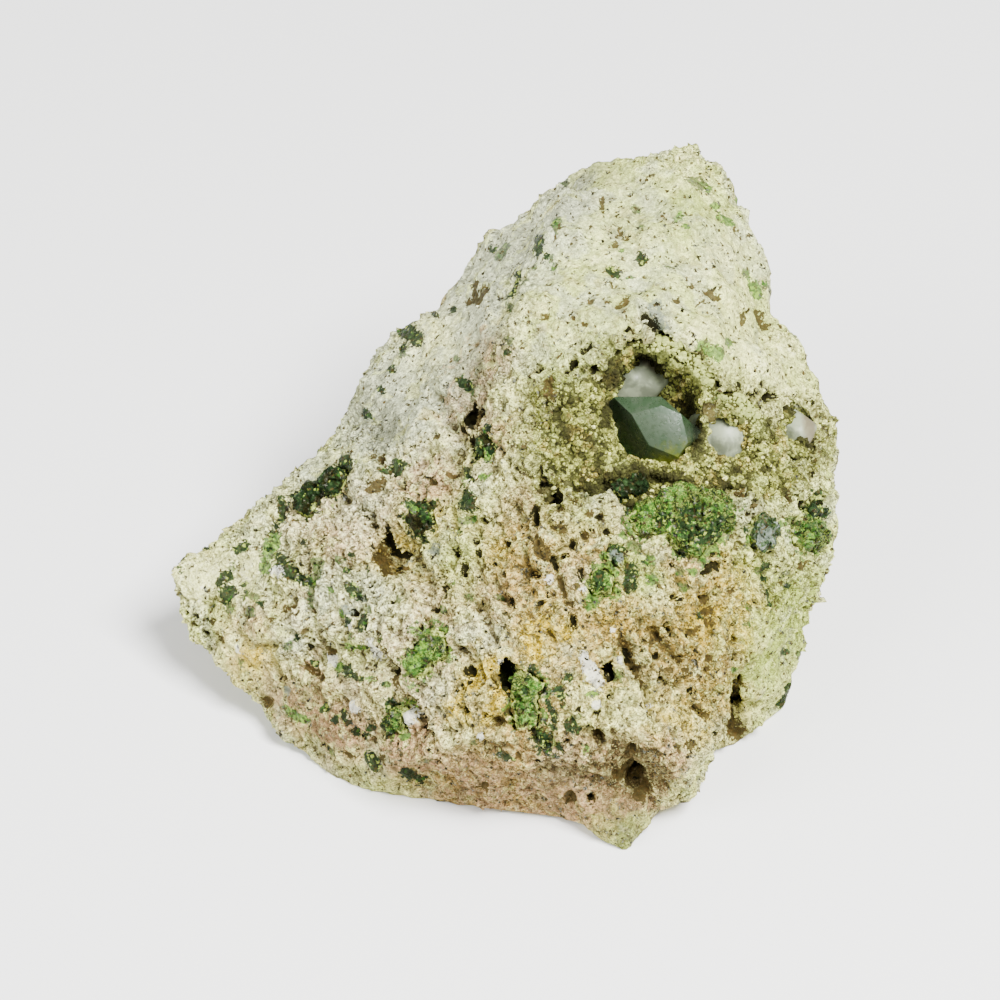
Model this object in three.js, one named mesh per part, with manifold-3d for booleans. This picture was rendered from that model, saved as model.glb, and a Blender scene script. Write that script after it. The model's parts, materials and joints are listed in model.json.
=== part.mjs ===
// A demantoid garnet crystal in a vug of its broken matrix stone, with smaller
// garnet masses sunk in the stone. Millimetres, +Z up, standing on a flat break.
import * as THREE from "three";
import { mergeVertices } from "three/addons/utils/BufferGeometryUtils.js";
import { ConvexHull } from "three/addons/math/ConvexHull.js";
import { ConvexGeometry } from "three/addons/geometries/ConvexGeometry.js";
import { ImprovedNoise } from "three/addons/math/ImprovedNoise.js";
import Module from "manifold-3d";

const wasm = await Module();
wasm.setup();

// Driving dimensions, in millimetres and degrees
const STONE_WIDTH = 70;
const VIEW_ELEVATION = 38;
const VIEW_DISTANCE = 480;
const VIEW_TARGET_HEIGHT = 23;
const PIECE_GAP = 0.3;
const DRUSE_SUNK = 0.9;

// Relief of the broken rock and the fineness of its mesh
const LUMP_HEIGHT = 1.3;
const CHIP_DEPTH = 1.2;
const OUTLINE_CALM = 7;
const FRONT_EDGE = 4.0;
const BACK_EDGE = 8;

// The picture that the stone was measured from: its middle, and where the stone starts and ends across it
const PICTURE_MIDDLE = 500;
const PICTURE_LEFT_TIP = 170;
const PICTURE_RIGHT_EDGE = 838;
const PIXEL = STONE_WIDTH / (PICTURE_RIGHT_EDGE - PICTURE_LEFT_TIP);

// The view's own directions in the stone's frame
const elevation = THREE.MathUtils.degToRad(VIEW_ELEVATION);
const RIGHT = new THREE.Vector3(1, 0, 0);
const UP = new THREE.Vector3(0, Math.sin(elevation), Math.cos(elevation));
const TOWARD = new THREE.Vector3(0, -Math.cos(elevation), Math.sin(elevation));
const TARGET = new THREE.Vector3(0, 0, VIEW_TARGET_HEIGHT);
const EYE = TARGET.clone().addScaledVector(TOWARD, VIEW_DISTANCE);

// A point seen at (across, down) in the picture, this far towards the eye from the picture plane
function seenAt(across, down, toward) {
  const scale = (PIXEL * (VIEW_DISTANCE - toward)) / VIEW_DISTANCE;
  return TARGET.clone()
    .addScaledVector(RIGHT, (across - PICTURE_MIDDLE) * scale)
    .addScaledVector(UP, (PICTURE_MIDDLE - down) * scale)
    .addScaledVector(TOWARD, toward);
}

// Outline of the stone as seen, from the left tip over the top: across, down, millimetres towards the eye
const OUTLINE = [
  [168, 582, -8], [176, 565, -9], [208, 544, -10], [256, 508, -12], [300, 469, -13], [339, 432, -15],
  [360, 380, -17], [385, 341, -18], [424, 319, -19], [455, 281, -20], [476, 252, -20], [497, 230, -19],
  [527, 210, -18], [559, 186, -16], [595, 157, -14], [640, 157, -12], [664, 151, -11],
  [696, 145, -10], [720, 167, -9], [748, 211, -7], [767, 262, -6], [773, 316, -5],
  [801, 343, -5], [821, 388, -5], [835, 442, -5], [840, 490, -5], [836, 540, -4],
  [817, 590, -4], [799, 606, -8], [801, 652, -9], [784, 707, -8], [757, 730, -6],
  [736, 751, -4.5], [714, 756, -4], [700, 786, 5], [688, 804, 7], [656, 808, 6],
  [646, 830, 7], [628, 856, 9], [600, 843, 7.5], [584, 824, 6], [530, 815, 5],
  [480, 808, 4], [400, 800, 2], [348, 790, 0.5], [320, 772, -1], [283, 738, -3],
  [249, 698, -5], [203, 653, -7], [177, 614, -8],
];

// The two broken faces that meet in the ridge below the vug, the shoulder behind them and the overhang below
const RIGHT_FACE = [
  [596, 185, -7], [567, 195, -6], [690, 190, -3], [625, 225, -1], [545, 240, -1.5], [640, 270, 3.5],
  [712, 255, 1], [524, 290, 3], [590, 320, 8], [508, 345, 6.5], [660, 322, 8], [735, 335, 4.5],
  [600, 352, 10], [700, 372, 8], [775, 370, 1.5], [575, 420, 12.5], [545, 470, 14.5],
  [650, 495, 14.5], [720, 485, 11], [790, 470, 4.5], [817, 430, -1], [820, 515, 2],
  [775, 530, 8], [705, 545, 14], [790, 585, 3.5], [740, 590, 8.5],
];
const LEFT_FACE = [
  [501, 385, 9], [487, 330, 0], [455, 430, 4], [500, 480, 12], [400, 480, 3], [440, 540, 10],
  [385, 530, 5], [340, 530, 1.5], [310, 560, 0.5], [262, 562, -4.5], [212, 590, -6.5],
  [310, 620, 2], [370, 610, 7], [450, 610, 13.5], [520, 580, 16.5], [600, 580, 17.5],
  [660, 620, 17], [590, 660, 19], [500, 680, 18], [420, 690, 12.5], [345, 680, 5],
  [265, 625, -0.5], [650, 690, 17.5], [708, 690, 11.5], [719, 630, 10.5],
];
const SHOULDER = [
  [440, 360, -4], [425, 400, -1], [385, 440, -2.5], [335, 475, -5], [285, 510, -7],
  [548, 222, -11], [510, 262, -10], [475, 305, -7],
];
const OVERHANG = [
  [215, 645, -6], [257, 660, -3], [326, 698, 3], [375, 738, 7], [415, 757, 11],
  [462, 741, 14.5], [502, 733, 17.5], [556, 744, 17.5], [613, 726, 18.5], [655, 742, 17.5],
  [700, 742, 12.5], [420, 780, 5.5], [500, 785, 8.5], [570, 795, 10.5], [630, 785, 11.5],
  [675, 775, 13.5], [730, 700, 2], [760, 660, 1.5],
];

// The hidden back and the ground under the stone: right, back and up
const BACK = [
  [33, 14, 14], [29, 21, 22], [22, 30, 24], [9, 33, 22], [-4, 31, 15], [-14, 23, 9],
  [-23, 14, 8], [-27, 8, 9], [9, 33, 33], [21, 31, 37], [26, 22, 30], [-6, 31, 23],
  [31, 3, 7], [-27, 0, 4], [2, 35, 25], [15, 36, 15], [27, 26, 10],
];
const GROUND = [
  [-20, 1, -2], [-15, 13, -2], [-3, 23, -2], [13, 26, -2], [25, 17, -2], [30, 2, -2],
  [27, -8, -2], [20, -17, -2], [6, -20, -2], [-12, -16, -2], [4, 4, -2],
];

// Swells and hollows of the faces: across, down, reach and height in millimetres
const SWELLS = [
  [262, 618, 4.5, 1.2], [212, 585, 3.5, 0.8], [286, 572, 2.6, 1.0], [318, 640, 3.0, -1.2],
  [304, 664, 3.0, -0.9], [345, 640, 4.5, 1.0], [368, 698, 3.2, 1.2], [414, 706, 2.4, -1.5],
  [430, 733, 2.4, -1.3], [330, 545, 3.5, 1.1], [362, 560, 3.0, 0.8], [441, 566, 3.6, 1.0],
  [472, 620, 4.5, 1.1], [502, 590, 3.0, -1.0], [545, 560, 3.4, 0.9], [540, 622, 5.0, 1.0],
  [488, 690, 3.5, 1.2], [590, 700, 4.0, 0.9], [600, 642, 3.2, -0.9], [655, 655, 3.0, -0.8],
  [684, 668, 4.0, 1.1], [702, 606, 3.0, -1.2], [660, 596, 3.0, 0.7], [642, 775, 4.2, -1.8],
  [690, 770, 3.2, 1.3], [565, 770, 4.0, -1.0], [480, 770, 4.5, 0.8], [395, 770, 3.6, 0.8],
  [300, 700, 3.5, -1.0], [733, 722, 3.0, -2.0], [772, 676, 3.6, 1.0], [745, 640, 3.2, 0.9],
  [790, 560, 3.6, 1.2], [748, 560, 2.4, -0.9], [700, 345, 4.0, 1.5], [640, 300, 3.2, 0.9],
  [668, 345, 2.0, 1.0], [760, 360, 4.0, 1.1], [720, 280, 5.5, 1.0], [585, 285, 4.5, 0.8],
  [618, 225, 3.0, -0.8], [690, 215, 5.0, 0.8], [550, 390, 3.4, 0.9], [520, 440, 4.5, 1.0],
  [478, 415, 2.6, -1.6], [436, 395, 4.5, 1.1], [412, 470, 2.6, -1.1], [375, 455, 3.8, 1.0],
  [470, 505, 3.4, 0.8], [446, 480, 3.0, 0.8], [488, 345, 3.0, -1.2], [505, 545, 2.2, -0.9],
];

// A closed shape of corners and triangles, straight-faced, round a point deep in the stone
const HEART = seenAt(545, 520, -8);
function cage() {
  const seen = [OUTLINE, RIGHT_FACE, LEFT_FACE, SHOULDER, OVERHANG].flat().map((p) => seenAt(...p));
  const hidden = [BACK, GROUND].flat().map((p) => new THREE.Vector3(...p));
  const corners = [...seen, ...hidden];
  const directions = corners.map((corner) => corner.clone().sub(HEART).normalize());
  const indexOf = new Map(directions.map((direction, i) => [direction, i]));
  const triangles = new ConvexHull().setFromPoints(directions).faces.map((face) => (
    [0, 1, 2].map((i) => indexOf.get(face.getEdge(i).head().point))
  ));
  return { corners, triangles };
}

// Halves every edge that is longer than allowed where it lies, until none is
function refine({ corners, triangles }, longestAt) {
  const middles = new Map();
  const middleOf = (a, b) => {
    const key = a < b ? `${a} ${b}` : `${b} ${a}`;
    if (!middles.has(key)) {
      const middle = corners[a].clone().add(corners[b]).multiplyScalar(0.5);
      const long = corners[a].distanceTo(corners[b]) > longestAt(middle);
      middles.set(key, long ? corners.push(middle) - 1 : null);
    }
    return middles.get(key);
  };
  const finer = triangles.flatMap(([a, b, c]) => {
    const [ab, bc, ca] = [middleOf(a, b), middleOf(b, c), middleOf(c, a)];
    if (ab !== null && bc !== null && ca !== null) {
      return [[a, ab, ca], [b, bc, ab], [c, ca, bc], [ab, bc, ca]];
    }
    const ring = [a, ab, b, bc, c, ca].filter((corner) => corner !== null);
    const start = Math.max(0, ring.findIndex((corner) => corner === ab || corner === bc || corner === ca));
    const turned = [...ring.slice(start), ...ring.slice(0, start)];
    return turned.slice(2).map((corner, i) => [turned[0], turned[i + 1], corner]);
  });
  const grown = finer.length > triangles.length;
  return grown ? refine({ corners, triangles: finer }, longestAt) : { corners, triangles };
}

// Repeatable random numbers from 0 to 1
function randomFrom(seed) {
  let state = seed;
  return () => {
    state = (state * 1664525 + 1013904223) % 4294967296;
    return state / 4294967296;
  };
}

const perlin = new ImprovedNoise();
function noiseAt(point, wavelength, shift = 0) {
  return perlin.noise(
    point.x / wavelength + shift,
    point.y / wavelength + shift * 1.7,
    point.z / wavelength - shift,
  );
}

// Lumps and chipped hollows of the broken rock, calmer near the measured outline
const outlinePoints = OUTLINE.map((p) => seenAt(...p));
function rockRelief(point) {
  const toOutline = Math.min(...outlinePoints.map((p) => p.distanceTo(point)));
  const calm = THREE.MathUtils.smoothstep(toOutline, 0, OUTLINE_CALM);
  const lumps = LUMP_HEIGHT * (noiseAt(point, 9, 3.1) + 0.7 * noiseAt(point, 4.2, 7.7));
  const chips = -CHIP_DEPTH * Math.max(0, Math.abs(noiseAt(point, 6, 11.3)) - 0.15);
  return calm * (lumps + chips);
}

function swellHeight(point, swells) {
  return swells.reduce((sum, { middle, reach, height }) => {
    const away = point.distanceTo(middle) / reach;
    return away < 1 ? sum + height * (1 - away * away) ** 2 : sum;
  }, 0);
}

// The rock before anything is cut from it: every corner moves only out from or in to the heart
function rockShape() {
  const shape = refine(cage(), (point) => {
    const facing = point.clone().sub(HEART).normalize().dot(TOWARD);
    return THREE.MathUtils.lerp(BACK_EDGE, FRONT_EDGE, THREE.MathUtils.smoothstep(facing, -0.35, 0.15));
  });
  const swells = SWELLS.map(([across, down, reach, height]) => (
    { middle: seenOn(shape, across, down).point, reach, height }
  ));
  for (const corner of shape.corners) {
    const out = corner.clone().sub(HEART).normalize();
    corner.addScaledVector(out, rockRelief(corner) + swellHeight(corner, swells));
  }
  return shape;
}

// Where the picture's (across, down) first meets a shape
function seenOn({ corners, triangles }, across, down) {
  const ray = new THREE.Ray(EYE, seenAt(across, down, 0).sub(EYE).normalize());
  let nearest = null;
  for (const [a, b, c] of triangles) {
    const [p, q, r] = [corners[a], corners[b], corners[c]];
    const point = ray.intersectTriangle(p, q, r, true, new THREE.Vector3());
    if (point && (!nearest || point.distanceTo(EYE) < nearest.point.distanceTo(EYE))) {
      nearest = { point, normal: new THREE.Triangle(p, q, r).getNormal(new THREE.Vector3()) };
    }
  }
  return nearest;
}

const ROCK = rockShape();
const surfaceAt = (across, down) => seenOn(ROCK, across, down);

// Moves every corner of a closed geometry, keeping shared corners together
function reshape(geometry, move) {
  const bare = geometry.clone();
  bare.deleteAttribute("normal");
  bare.deleteAttribute("uv");
  const shared = mergeVertices(bare, 1e-4);
  const positions = shared.getAttribute("position");
  const corner = new THREE.Vector3();
  for (let i = 0; i < positions.count; i += 1) {
    corner.fromBufferAttribute(positions, i);
    move(corner);
    positions.setXYZ(i, corner.x, corner.y, corner.z);
  }
  return shared;
}

function toSolid(geometry) {
  const shared = reshape(geometry, () => {});
  return new wasm.Manifold(new wasm.Mesh({
    numProp: 3,
    vertProperties: new Float32Array(shared.getAttribute("position").array),
    triVerts: new Uint32Array(shared.getIndex().array),
  }));
}

function toGeometry(solid) {
  const mesh = solid.getMesh();
  const geometry = new THREE.BufferGeometry();
  geometry.setAttribute("position", new THREE.BufferAttribute(mesh.vertProperties, 3));
  geometry.setIndex(new THREE.BufferAttribute(mesh.triVerts, 1));
  geometry.computeVertexNormals();
  return geometry;
}

function toShape(solid) {
  const { vertProperties, triVerts } = solid.getMesh();
  const corners = Array.from({ length: vertProperties.length / 3 }, (_, i) => (
    new THREE.Vector3().fromArray(vertProperties, 3 * i)
  ));
  const triangles = Array.from({ length: triVerts.length / 3 }, (_, i) => [...triVerts.slice(3 * i, 3 * i + 3)]);
  return { corners, triangles };
}

// Joins or cuts with several solids in turn
const joinAll = (solids) => solids.reduce((whole, piece) => whole.add(piece));
const cutAll = (body, cutters) => cutters.reduce((left, cutter) => left.subtract(cutter), body);

// The rock on its flat break, or the same rock sunk back from the eye by some distance
function rockBody(sunk = 0) {
  const geometry = new THREE.BufferGeometry().setFromPoints(ROCK.corners);
  geometry.setIndex(ROCK.triangles.flat());
  const below = new THREE.BoxGeometry(200, 200, 50).translate(0, 0, -25);
  const back = TOWARD.clone().multiplyScalar(-sunk);
  return toSolid(geometry.translate(...back)).subtract(toSolid(below));
}

// A lumpy hollow or lump: middle, half sizes right, up and deep, how far it leans up and turns
function lump({ middle, half, lean = 0, turn = 0, rough = 0.12, inset = 0, detail = 2, seed = 0 }) {
  const ball = new THREE.IcosahedronGeometry(1, detail);
  const frame = new THREE.Matrix4().makeBasis(RIGHT, UP, TOWARD);
  const tilt = new THREE.Matrix4().makeRotationX(THREE.MathUtils.degToRad(lean));
  const spin = new THREE.Matrix4().makeRotationZ(THREE.MathUtils.degToRad(turn));
  const placing = frame.multiply(spin).multiply(tilt).setPosition(middle);
  const size = new THREE.Vector3(...half).subScalar(inset);
  const shaped = reshape(ball, (corner) => {
    const swell = 1 + rough * (noiseAt(corner, 0.6, seed) + 0.6 * noiseAt(corner, 0.3, seed + 5));
    corner.multiplyScalar(swell).multiply(size);
  });
  return shaped.applyMatrix4(placing);
}

// The vug: the shallow recess that the druse fills, with the chamber of the crystal and deeper holes in it
const VUG_HOLLOWS = [
  { middle: seenAt(590, 425, 12.6), half: [6.6, 8.0, 3.8], turn: -8, rough: 0.26, detail: 1, seed: 1.3 },
  { middle: seenAt(652, 404, 5.0), half: [7.0, 8.0, 8.5], turn: -8, rough: 0.14, detail: 1, seed: 4.2 },
  { middle: seenAt(757, 449, 6.5), half: [9.4, 5.9, 4.2], lean: 8, turn: -8, rough: 0.26, detail: 1, seed: 6.1 },
  { middle: seenAt(676, 455, 10.4), half: [9.8, 4.4, 4.6], turn: -2, rough: 0.2, detail: 1, seed: 8.4 },
  { middle: seenAt(723, 437, 3.4), half: [3.8, 4.3, 4.7], rough: 0.16, detail: 1, seed: 3.7 },
  { middle: seenAt(797, 431, 0.8), half: [3.1, 3.4, 4.5], rough: 0.16, detail: 1, seed: 9.9 },
  { middle: seenAt(640, 487, 12.5), half: [6.2, 2.2, 4.7], turn: 3, rough: 0.16, detail: 1, seed: 12.7 },
];
const DRUSE_WINDOWS = [
  { middle: seenAt(654, 407, 8.0), half: [5.6, 6.6, 10.4], turn: -8, rough: 0.26, detail: 1, seed: 2.3 },
  { middle: seenAt(723, 438, 6.0), half: [2.4, 2.9, 5.8], turn: 20, rough: 0.24, detail: 1, seed: 5.1 },
  { middle: seenAt(796, 431, 3.0), half: [1.8, 2.2, 5.4], rough: 0.2, detail: 1, seed: 7.9 },
  { middle: seenAt(640, 486, 14.0), half: [4.8, 1.3, 4.4], turn: 3, rough: 0.24, detail: 1, seed: 10.3 },
  { middle: seenAt(567, 421, 14.0), half: [0.6, 1.6, 2.4], turn: 10, rough: 0.2, detail: 0, seed: 14.3 },
];

function vug(inset) {
  return joinAll(VUG_HOLLOWS.map((hollow) => toSolid(lump({ ...hollow, inset }))));
}

// Pits, holes and cracks: across and down, half sizes in millimetres, and turn
const PITS = [
  { at: [657, 330], half: [0.7, 2.1, 2.2], turn: 32 },
  { at: [471, 410], half: [0.9, 3.1, 2.6], turn: -6 },
  { at: [394, 549], half: [2.3, 2.8, 2.2], turn: 30, detail: 1 },
  { at: [510, 674], half: [1.2, 1.8, 2.8], turn: 20 },
  { at: [546, 494], half: [1.7, 1.2, 2.4], turn: -10 },
  { at: [607, 668], half: [0.8, 1.5, 2.0], turn: 0 },
  { at: [829, 460], half: [0.9, 1.3, 2.0], turn: -20 },
  { at: [733, 694], half: [1.3, 3.8, 2.2], turn: 4, detail: 1 },
];

function pits() {
  return PITS.map(({ at, half, turn, detail = 0 }, i) => toSolid(lump({
    middle: surfaceAt(...at).point, half, turn, rough: 0.3, detail, seed: 20 + i,
  })));
}

// Garnet's own form, of twelve rhombic faces, a little uneven as it is when it grows in rock
function garnetForm(inradius, { uneven = 0, seed = 1 } = {}) {
  const random = randomFrom(seed);
  const signs = [1, -1];
  const directions = signs.flatMap((s) => signs.flatMap((t) => [[s, t, 0], [s, 0, t], [0, s, t]]));
  const planes = directions.map((direction) => (
    facePlane(direction, inradius * (1 + uneven * (random() - 0.5)))
  ));
  return new ConvexGeometry(cornersOf(planes));
}

function facePlane(direction, distance) {
  return new THREE.Plane(new THREE.Vector3(...direction).normalize(), -distance);
}

// The corners of the space inside a set of planes
function cornersOf(planes) {
  const corners = [];
  for (let i = 0; i < planes.length; i += 1) {
    for (let j = i + 1; j < planes.length; j += 1) {
      for (let k = j + 1; k < planes.length; k += 1) {
        const corner = threePlanesMeet(planes[i], planes[j], planes[k]);
        if (corner && planes.every((plane) => plane.distanceToPoint(corner) < 1e-6)
          && corners.every((other) => other.distanceTo(corner) > 1e-3)) {
          corners.push(corner);
        }
      }
    }
  }
  return corners;
}

function threePlanesMeet(p, q, r) {
  const across = new THREE.Vector3().crossVectors(q.normal, r.normal);
  const steepness = p.normal.dot(across);
  if (Math.abs(steepness) < 1e-6) {
    return null;
  }
  return across.multiplyScalar(-p.constant)
    .addScaledVector(new THREE.Vector3().crossVectors(r.normal, p.normal), -q.constant)
    .addScaledVector(new THREE.Vector3().crossVectors(p.normal, q.normal), -r.constant)
    .divideScalar(steepness);
}

// The main crystal, an uneven garnet form with its bright rhombic face towards the eye. Each face: how far it is
// turned in the picture, how far it slopes away from the eye, in degrees, and its distance from the middle
const CRYSTAL_MIDDLE = seenAt(655, 431, 5.0);
const CRYSTAL_FACES = [
  [0, 0, 3.4], [107, 30, 4.09], [66, 45, 4.21], [14, 58, 4.26], [-36, 65, 4.52], [248, 54, 3.37], [209, 60, 2.91],
  [90, 90, 3.5], [49, 88, 3.1], [-30, 90, 4.3], [261, 90, 3.4], [196, 92, 4.4], [130, 90, 5.4],
  [0, 180, 3.0], [100, 135, 3.4], [215, 130, 3.9], [-10, 135, 3.6], [290, 130, 3.4],
];

function demantoidCrystal(grow = 0) {
  const placing = new THREE.Matrix4().makeBasis(RIGHT, UP, TOWARD).setPosition(CRYSTAL_MIDDLE);
  const planes = CRYSTAL_FACES.map(([turn, slope, distance]) => {
    const around = THREE.MathUtils.degToRad(turn);
    const away = THREE.MathUtils.degToRad(slope);
    const inPicture = Math.sin(away);
    return facePlane([Math.cos(around) * inPicture, Math.sin(around) * inPicture, Math.cos(away)], distance + grow);
  });
  return toSolid(new ConvexGeometry(cornersOf(planes)).applyMatrix4(placing));
}

// Milky crystals deep in the windows of the druse
const MILKY_CRYSTALS = {
  milky_crystal_upper: { middle: seenAt(634, 378, 0.6), half: [3.0, 2.2, 2.2], turn: 12, seed: 31 },
  milky_crystal_middle: { middle: seenAt(724, 439, 2.4), half: [2.0, 2.5, 2.2], turn: -30, seed: 35 },
  milky_crystal_right: { middle: seenAt(796, 432, -1.8), half: [1.5, 1.8, 1.6], turn: 15, seed: 39 },
};

function milkyCrystal({ middle, half, turn, seed }, grow = 0) {
  const size = new THREE.Vector3(...half).addScalar(grow);
  const frame = new THREE.Matrix4().makeBasis(RIGHT, UP, TOWARD);
  const spin = new THREE.Matrix4().makeRotationZ(THREE.MathUtils.degToRad(turn));
  const placing = frame.multiply(spin).setPosition(middle).scale(size);
  return toSolid(garnetForm(1, { uneven: 0.3, seed }).applyMatrix4(placing));
}

// Garnet masses in the stone. Each grain: across, down, inradius, and how far it stands out
const GARNET_MASSES = {
  garnet_shelf_mass: [
    [671, 512, 2.2, 1.2], [690, 530, 2.4, 1.4], [710, 512, 2.2, 1.2], [688, 501, 1.8, 1.2],
    [650, 519, 1.6, 0.9],
  ],
  garnet_dark_hollow: [[621, 489, 1.1, 0.8], [639, 484, 1.1, 0.9]],
  garnet_right_grain: [[806, 534, 1.7, 0.8], [818, 535, 1.5, 0.7]],
  garnet_right_dark: [[815, 506, 1.2, 0.4]],
  garnet_grey_grain: [[766, 535, 1.5, 0.7]],
  garnet_blue_grain: [[616, 554, 1.0, 0.5]],
  garnet_low_shelf_grain: [[603, 580, 1.1, 0.4]],
  garnet_centre_grain: [[422, 518, 1.5, 0.9]],
  garnet_upper_grain: [[484, 448, 1.1, 0.6]],
  garnet_shoulder_mass: [[308, 494, 1.8, 0.6], [332, 481, 1.8, 0.6]],
  garnet_bright_grain: [[418, 663, 1.4, 0.8], [431, 647, 1.6, 0.9]],
  garnet_bottom_mass: [[526, 690, 1.4, 0.6], [527, 711, 1.3, 0.6]],
  garnet_bottom_dark: [[546, 742, 1.0, 0.4]],
  garnet_left_low_mass: [[396, 721, 1.4, 0.5]],
};

function garnetMass(name, grow = 0) {
  return joinAll(GARNET_MASSES[name].map(([across, down, inradius, proud], i) => {
    const seed = 97 * (i + 1) + name.length * 13;
    const random = randomFrom(seed);
    const turn = new THREE.Euler(random() * 3, random() * 3, random() * 3);
    const { point, normal } = surfaceAt(across, down);
    const middle = point.clone().addScaledVector(normal, proud - inradius);
    const placing = new THREE.Matrix4().makeRotationFromEuler(turn).setPosition(middle);
    return toSolid(garnetForm(inradius + grow, { uneven: 0.25, seed }).applyMatrix4(placing));
  }));
}

// The druse: a crust that fills the vug to just under the rock's face, open where the larger crystals sit,
// with small garnet-shaped crystals all over what the eye sees of it
const DRUSE = { crystals: 19, inradius: 0.95, middle: [690, 425], half: [135, 80] };

function vugDruse() {
  const windows = DRUSE_WINDOWS.map((window) => toSolid(lump(window)));
  const crust = cutAll(vug(PIECE_GAP).intersect(rockBody(DRUSE_SUNK)), windows);
  const wall = toShape(crust);
  const random = randomFrom(404);
  const crystals = [];
  while (crystals.length < DRUSE.crystals) {
    const round = random() * 2 * Math.PI;
    const out = Math.sqrt(random());
    const across = DRUSE.middle[0] + out * Math.cos(round) * DRUSE.half[0];
    const down = DRUSE.middle[1] + out * Math.sin(round) * DRUSE.half[1];
    const turn = new THREE.Euler(random() * 3, random() * 3, random() * 3);
    const inradius = DRUSE.inradius * (0.7 + 0.7 * random());
    const seen = seenOn(wall, across, down);
    if (seen) {
      const placing = new THREE.Matrix4().makeRotationFromEuler(turn).setPosition(seen.point);
      crystals.push(toSolid(garnetForm(inradius).applyMatrix4(placing)));
    }
  }
  return joinAll([crust, ...crystals]).intersect(vug(PIECE_GAP));
}

// The largest of a solid's separate bodies
function largest(solid) {
  return solid.decompose().sort((a, b) => b.volume() - a.volume())[0];
}

const COLOURS = {
  stone: { color: 0xc9bd9d, roughness: 0.95, metalness: 0 },
  druse: { color: 0xa9a15c, roughness: 0.7, metalness: 0 },
  demantoid: { color: 0x3c5a40, roughness: 0.25, metalness: 0 },
  garnet: { color: 0x4d6b3a, roughness: 0.4, metalness: 0 },
  dark_garnet: { color: 0x2c3529, roughness: 0.45, metalness: 0 },
  milky: { color: 0xd9dad6, roughness: 0.35, metalness: 0 },
};

function pieceMesh(name, solid, colour) {
  const mesh = new THREE.Mesh(toGeometry(solid), new THREE.MeshStandardMaterial(COLOURS[colour]));
  mesh.name = name;
  return mesh;
}

function specimen() {
  const massNames = Object.keys(GARNET_MASSES);
  const crystalPockets = [
    demantoidCrystal(PIECE_GAP),
    ...Object.values(MILKY_CRYSTALS).map((crystal) => milkyCrystal(crystal, PIECE_GAP)),
  ];
  const massPockets = massNames.map((name) => garnetMass(name, PIECE_GAP));
  const pockets = [...crystalPockets, ...massPockets];

  const druse = largest(cutAll(vugDruse(), pockets));
  const stone = largest(cutAll(rockBody(), [vug(0), ...pits(), ...pockets]));

  const group = new THREE.Group();
  group.add(pieceMesh("matrix_stone", stone, "stone"));
  group.add(pieceMesh("vug_druse", druse, "druse"));
  group.add(pieceMesh("demantoid_crystal", demantoidCrystal(), "demantoid"));
  for (const [name, crystal] of Object.entries(MILKY_CRYSTALS)) {
    group.add(pieceMesh(name, milkyCrystal(crystal), "milky"));
  }
  for (const name of massNames) {
    const colour = name.includes("dark") ? "dark_garnet" : "garnet";
    group.add(pieceMesh(name, garnetMass(name), colour));
  }

  // The origin is under the middle of the stone, on what it stands on
  const box = new THREE.Box3().setFromObject(group);
  const middle = box.getCenter(new THREE.Vector3());
  group.position.set(-middle.x, -middle.y, -box.min.z);
  return group;
}

export default specimen();
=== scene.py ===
"""A demantoid garnet crystal in the vug of its broken matrix stone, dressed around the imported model.

Lengths are in metres as everywhere in Blender. Places in the picture are pixels, across and down; each
point of the stone is looked up at the pixel at which the eye sees it.
"""
import json
import math

import bpy
import numpy as np
from bpy.props import FloatProperty, FloatVectorProperty, IntProperty, PointerProperty
from bpy.types import Operator, Panel, PropertyGroup
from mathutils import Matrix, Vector, noise
from mathutils.bvhtree import BVHTree
from mathutils.kdtree import KDTree

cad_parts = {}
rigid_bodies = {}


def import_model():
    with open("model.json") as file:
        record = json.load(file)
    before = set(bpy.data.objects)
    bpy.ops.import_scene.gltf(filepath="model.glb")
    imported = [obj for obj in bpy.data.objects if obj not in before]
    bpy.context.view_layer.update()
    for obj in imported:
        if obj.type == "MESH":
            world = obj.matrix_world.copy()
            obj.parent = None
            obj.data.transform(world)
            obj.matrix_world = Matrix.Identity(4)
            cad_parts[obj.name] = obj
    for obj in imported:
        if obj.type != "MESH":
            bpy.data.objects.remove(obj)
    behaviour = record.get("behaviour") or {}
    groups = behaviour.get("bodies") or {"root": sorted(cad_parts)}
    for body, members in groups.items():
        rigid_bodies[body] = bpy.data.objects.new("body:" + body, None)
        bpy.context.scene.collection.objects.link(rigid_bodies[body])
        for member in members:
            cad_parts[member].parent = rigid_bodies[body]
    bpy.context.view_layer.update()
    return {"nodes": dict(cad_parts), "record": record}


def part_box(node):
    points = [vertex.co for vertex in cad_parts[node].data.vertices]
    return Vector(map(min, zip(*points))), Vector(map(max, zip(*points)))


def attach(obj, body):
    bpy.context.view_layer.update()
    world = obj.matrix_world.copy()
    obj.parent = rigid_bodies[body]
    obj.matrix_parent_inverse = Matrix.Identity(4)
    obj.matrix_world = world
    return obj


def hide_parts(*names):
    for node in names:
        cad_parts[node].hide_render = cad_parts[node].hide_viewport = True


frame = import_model()

bl_info = {
    "name": "Demantoid Garnet Crystal",
    "version": (1, 0, 0),
    "blender": (4, 5, 0),
    "location": "3D View > Sidebar > Garnet",
    "description": "Rock, druse, crystals and garnet grains around the packed model",
    "category": "Object",
}

MM = 0.001

# The eye: where the picture was taken from, measured from the middle of the main crystal
VIEW_ELEVATION = math.radians(38)
VIEW_DISTANCE = 480 * MM
TARGET_FROM_CRYSTAL = Vector((-15.86, -0.16, -8.97)) * MM
PICTURE_WIDTH = 1000
PIXEL = 70 * MM / 668
SENSOR = 36.0
TOWARD = Vector((0, -math.cos(VIEW_ELEVATION), math.sin(VIEW_ELEVATION)))
UP = Vector((0, math.sin(VIEW_ELEVATION), math.cos(VIEW_ELEVATION)))
RIGHT = Vector((1, 0, 0))

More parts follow.
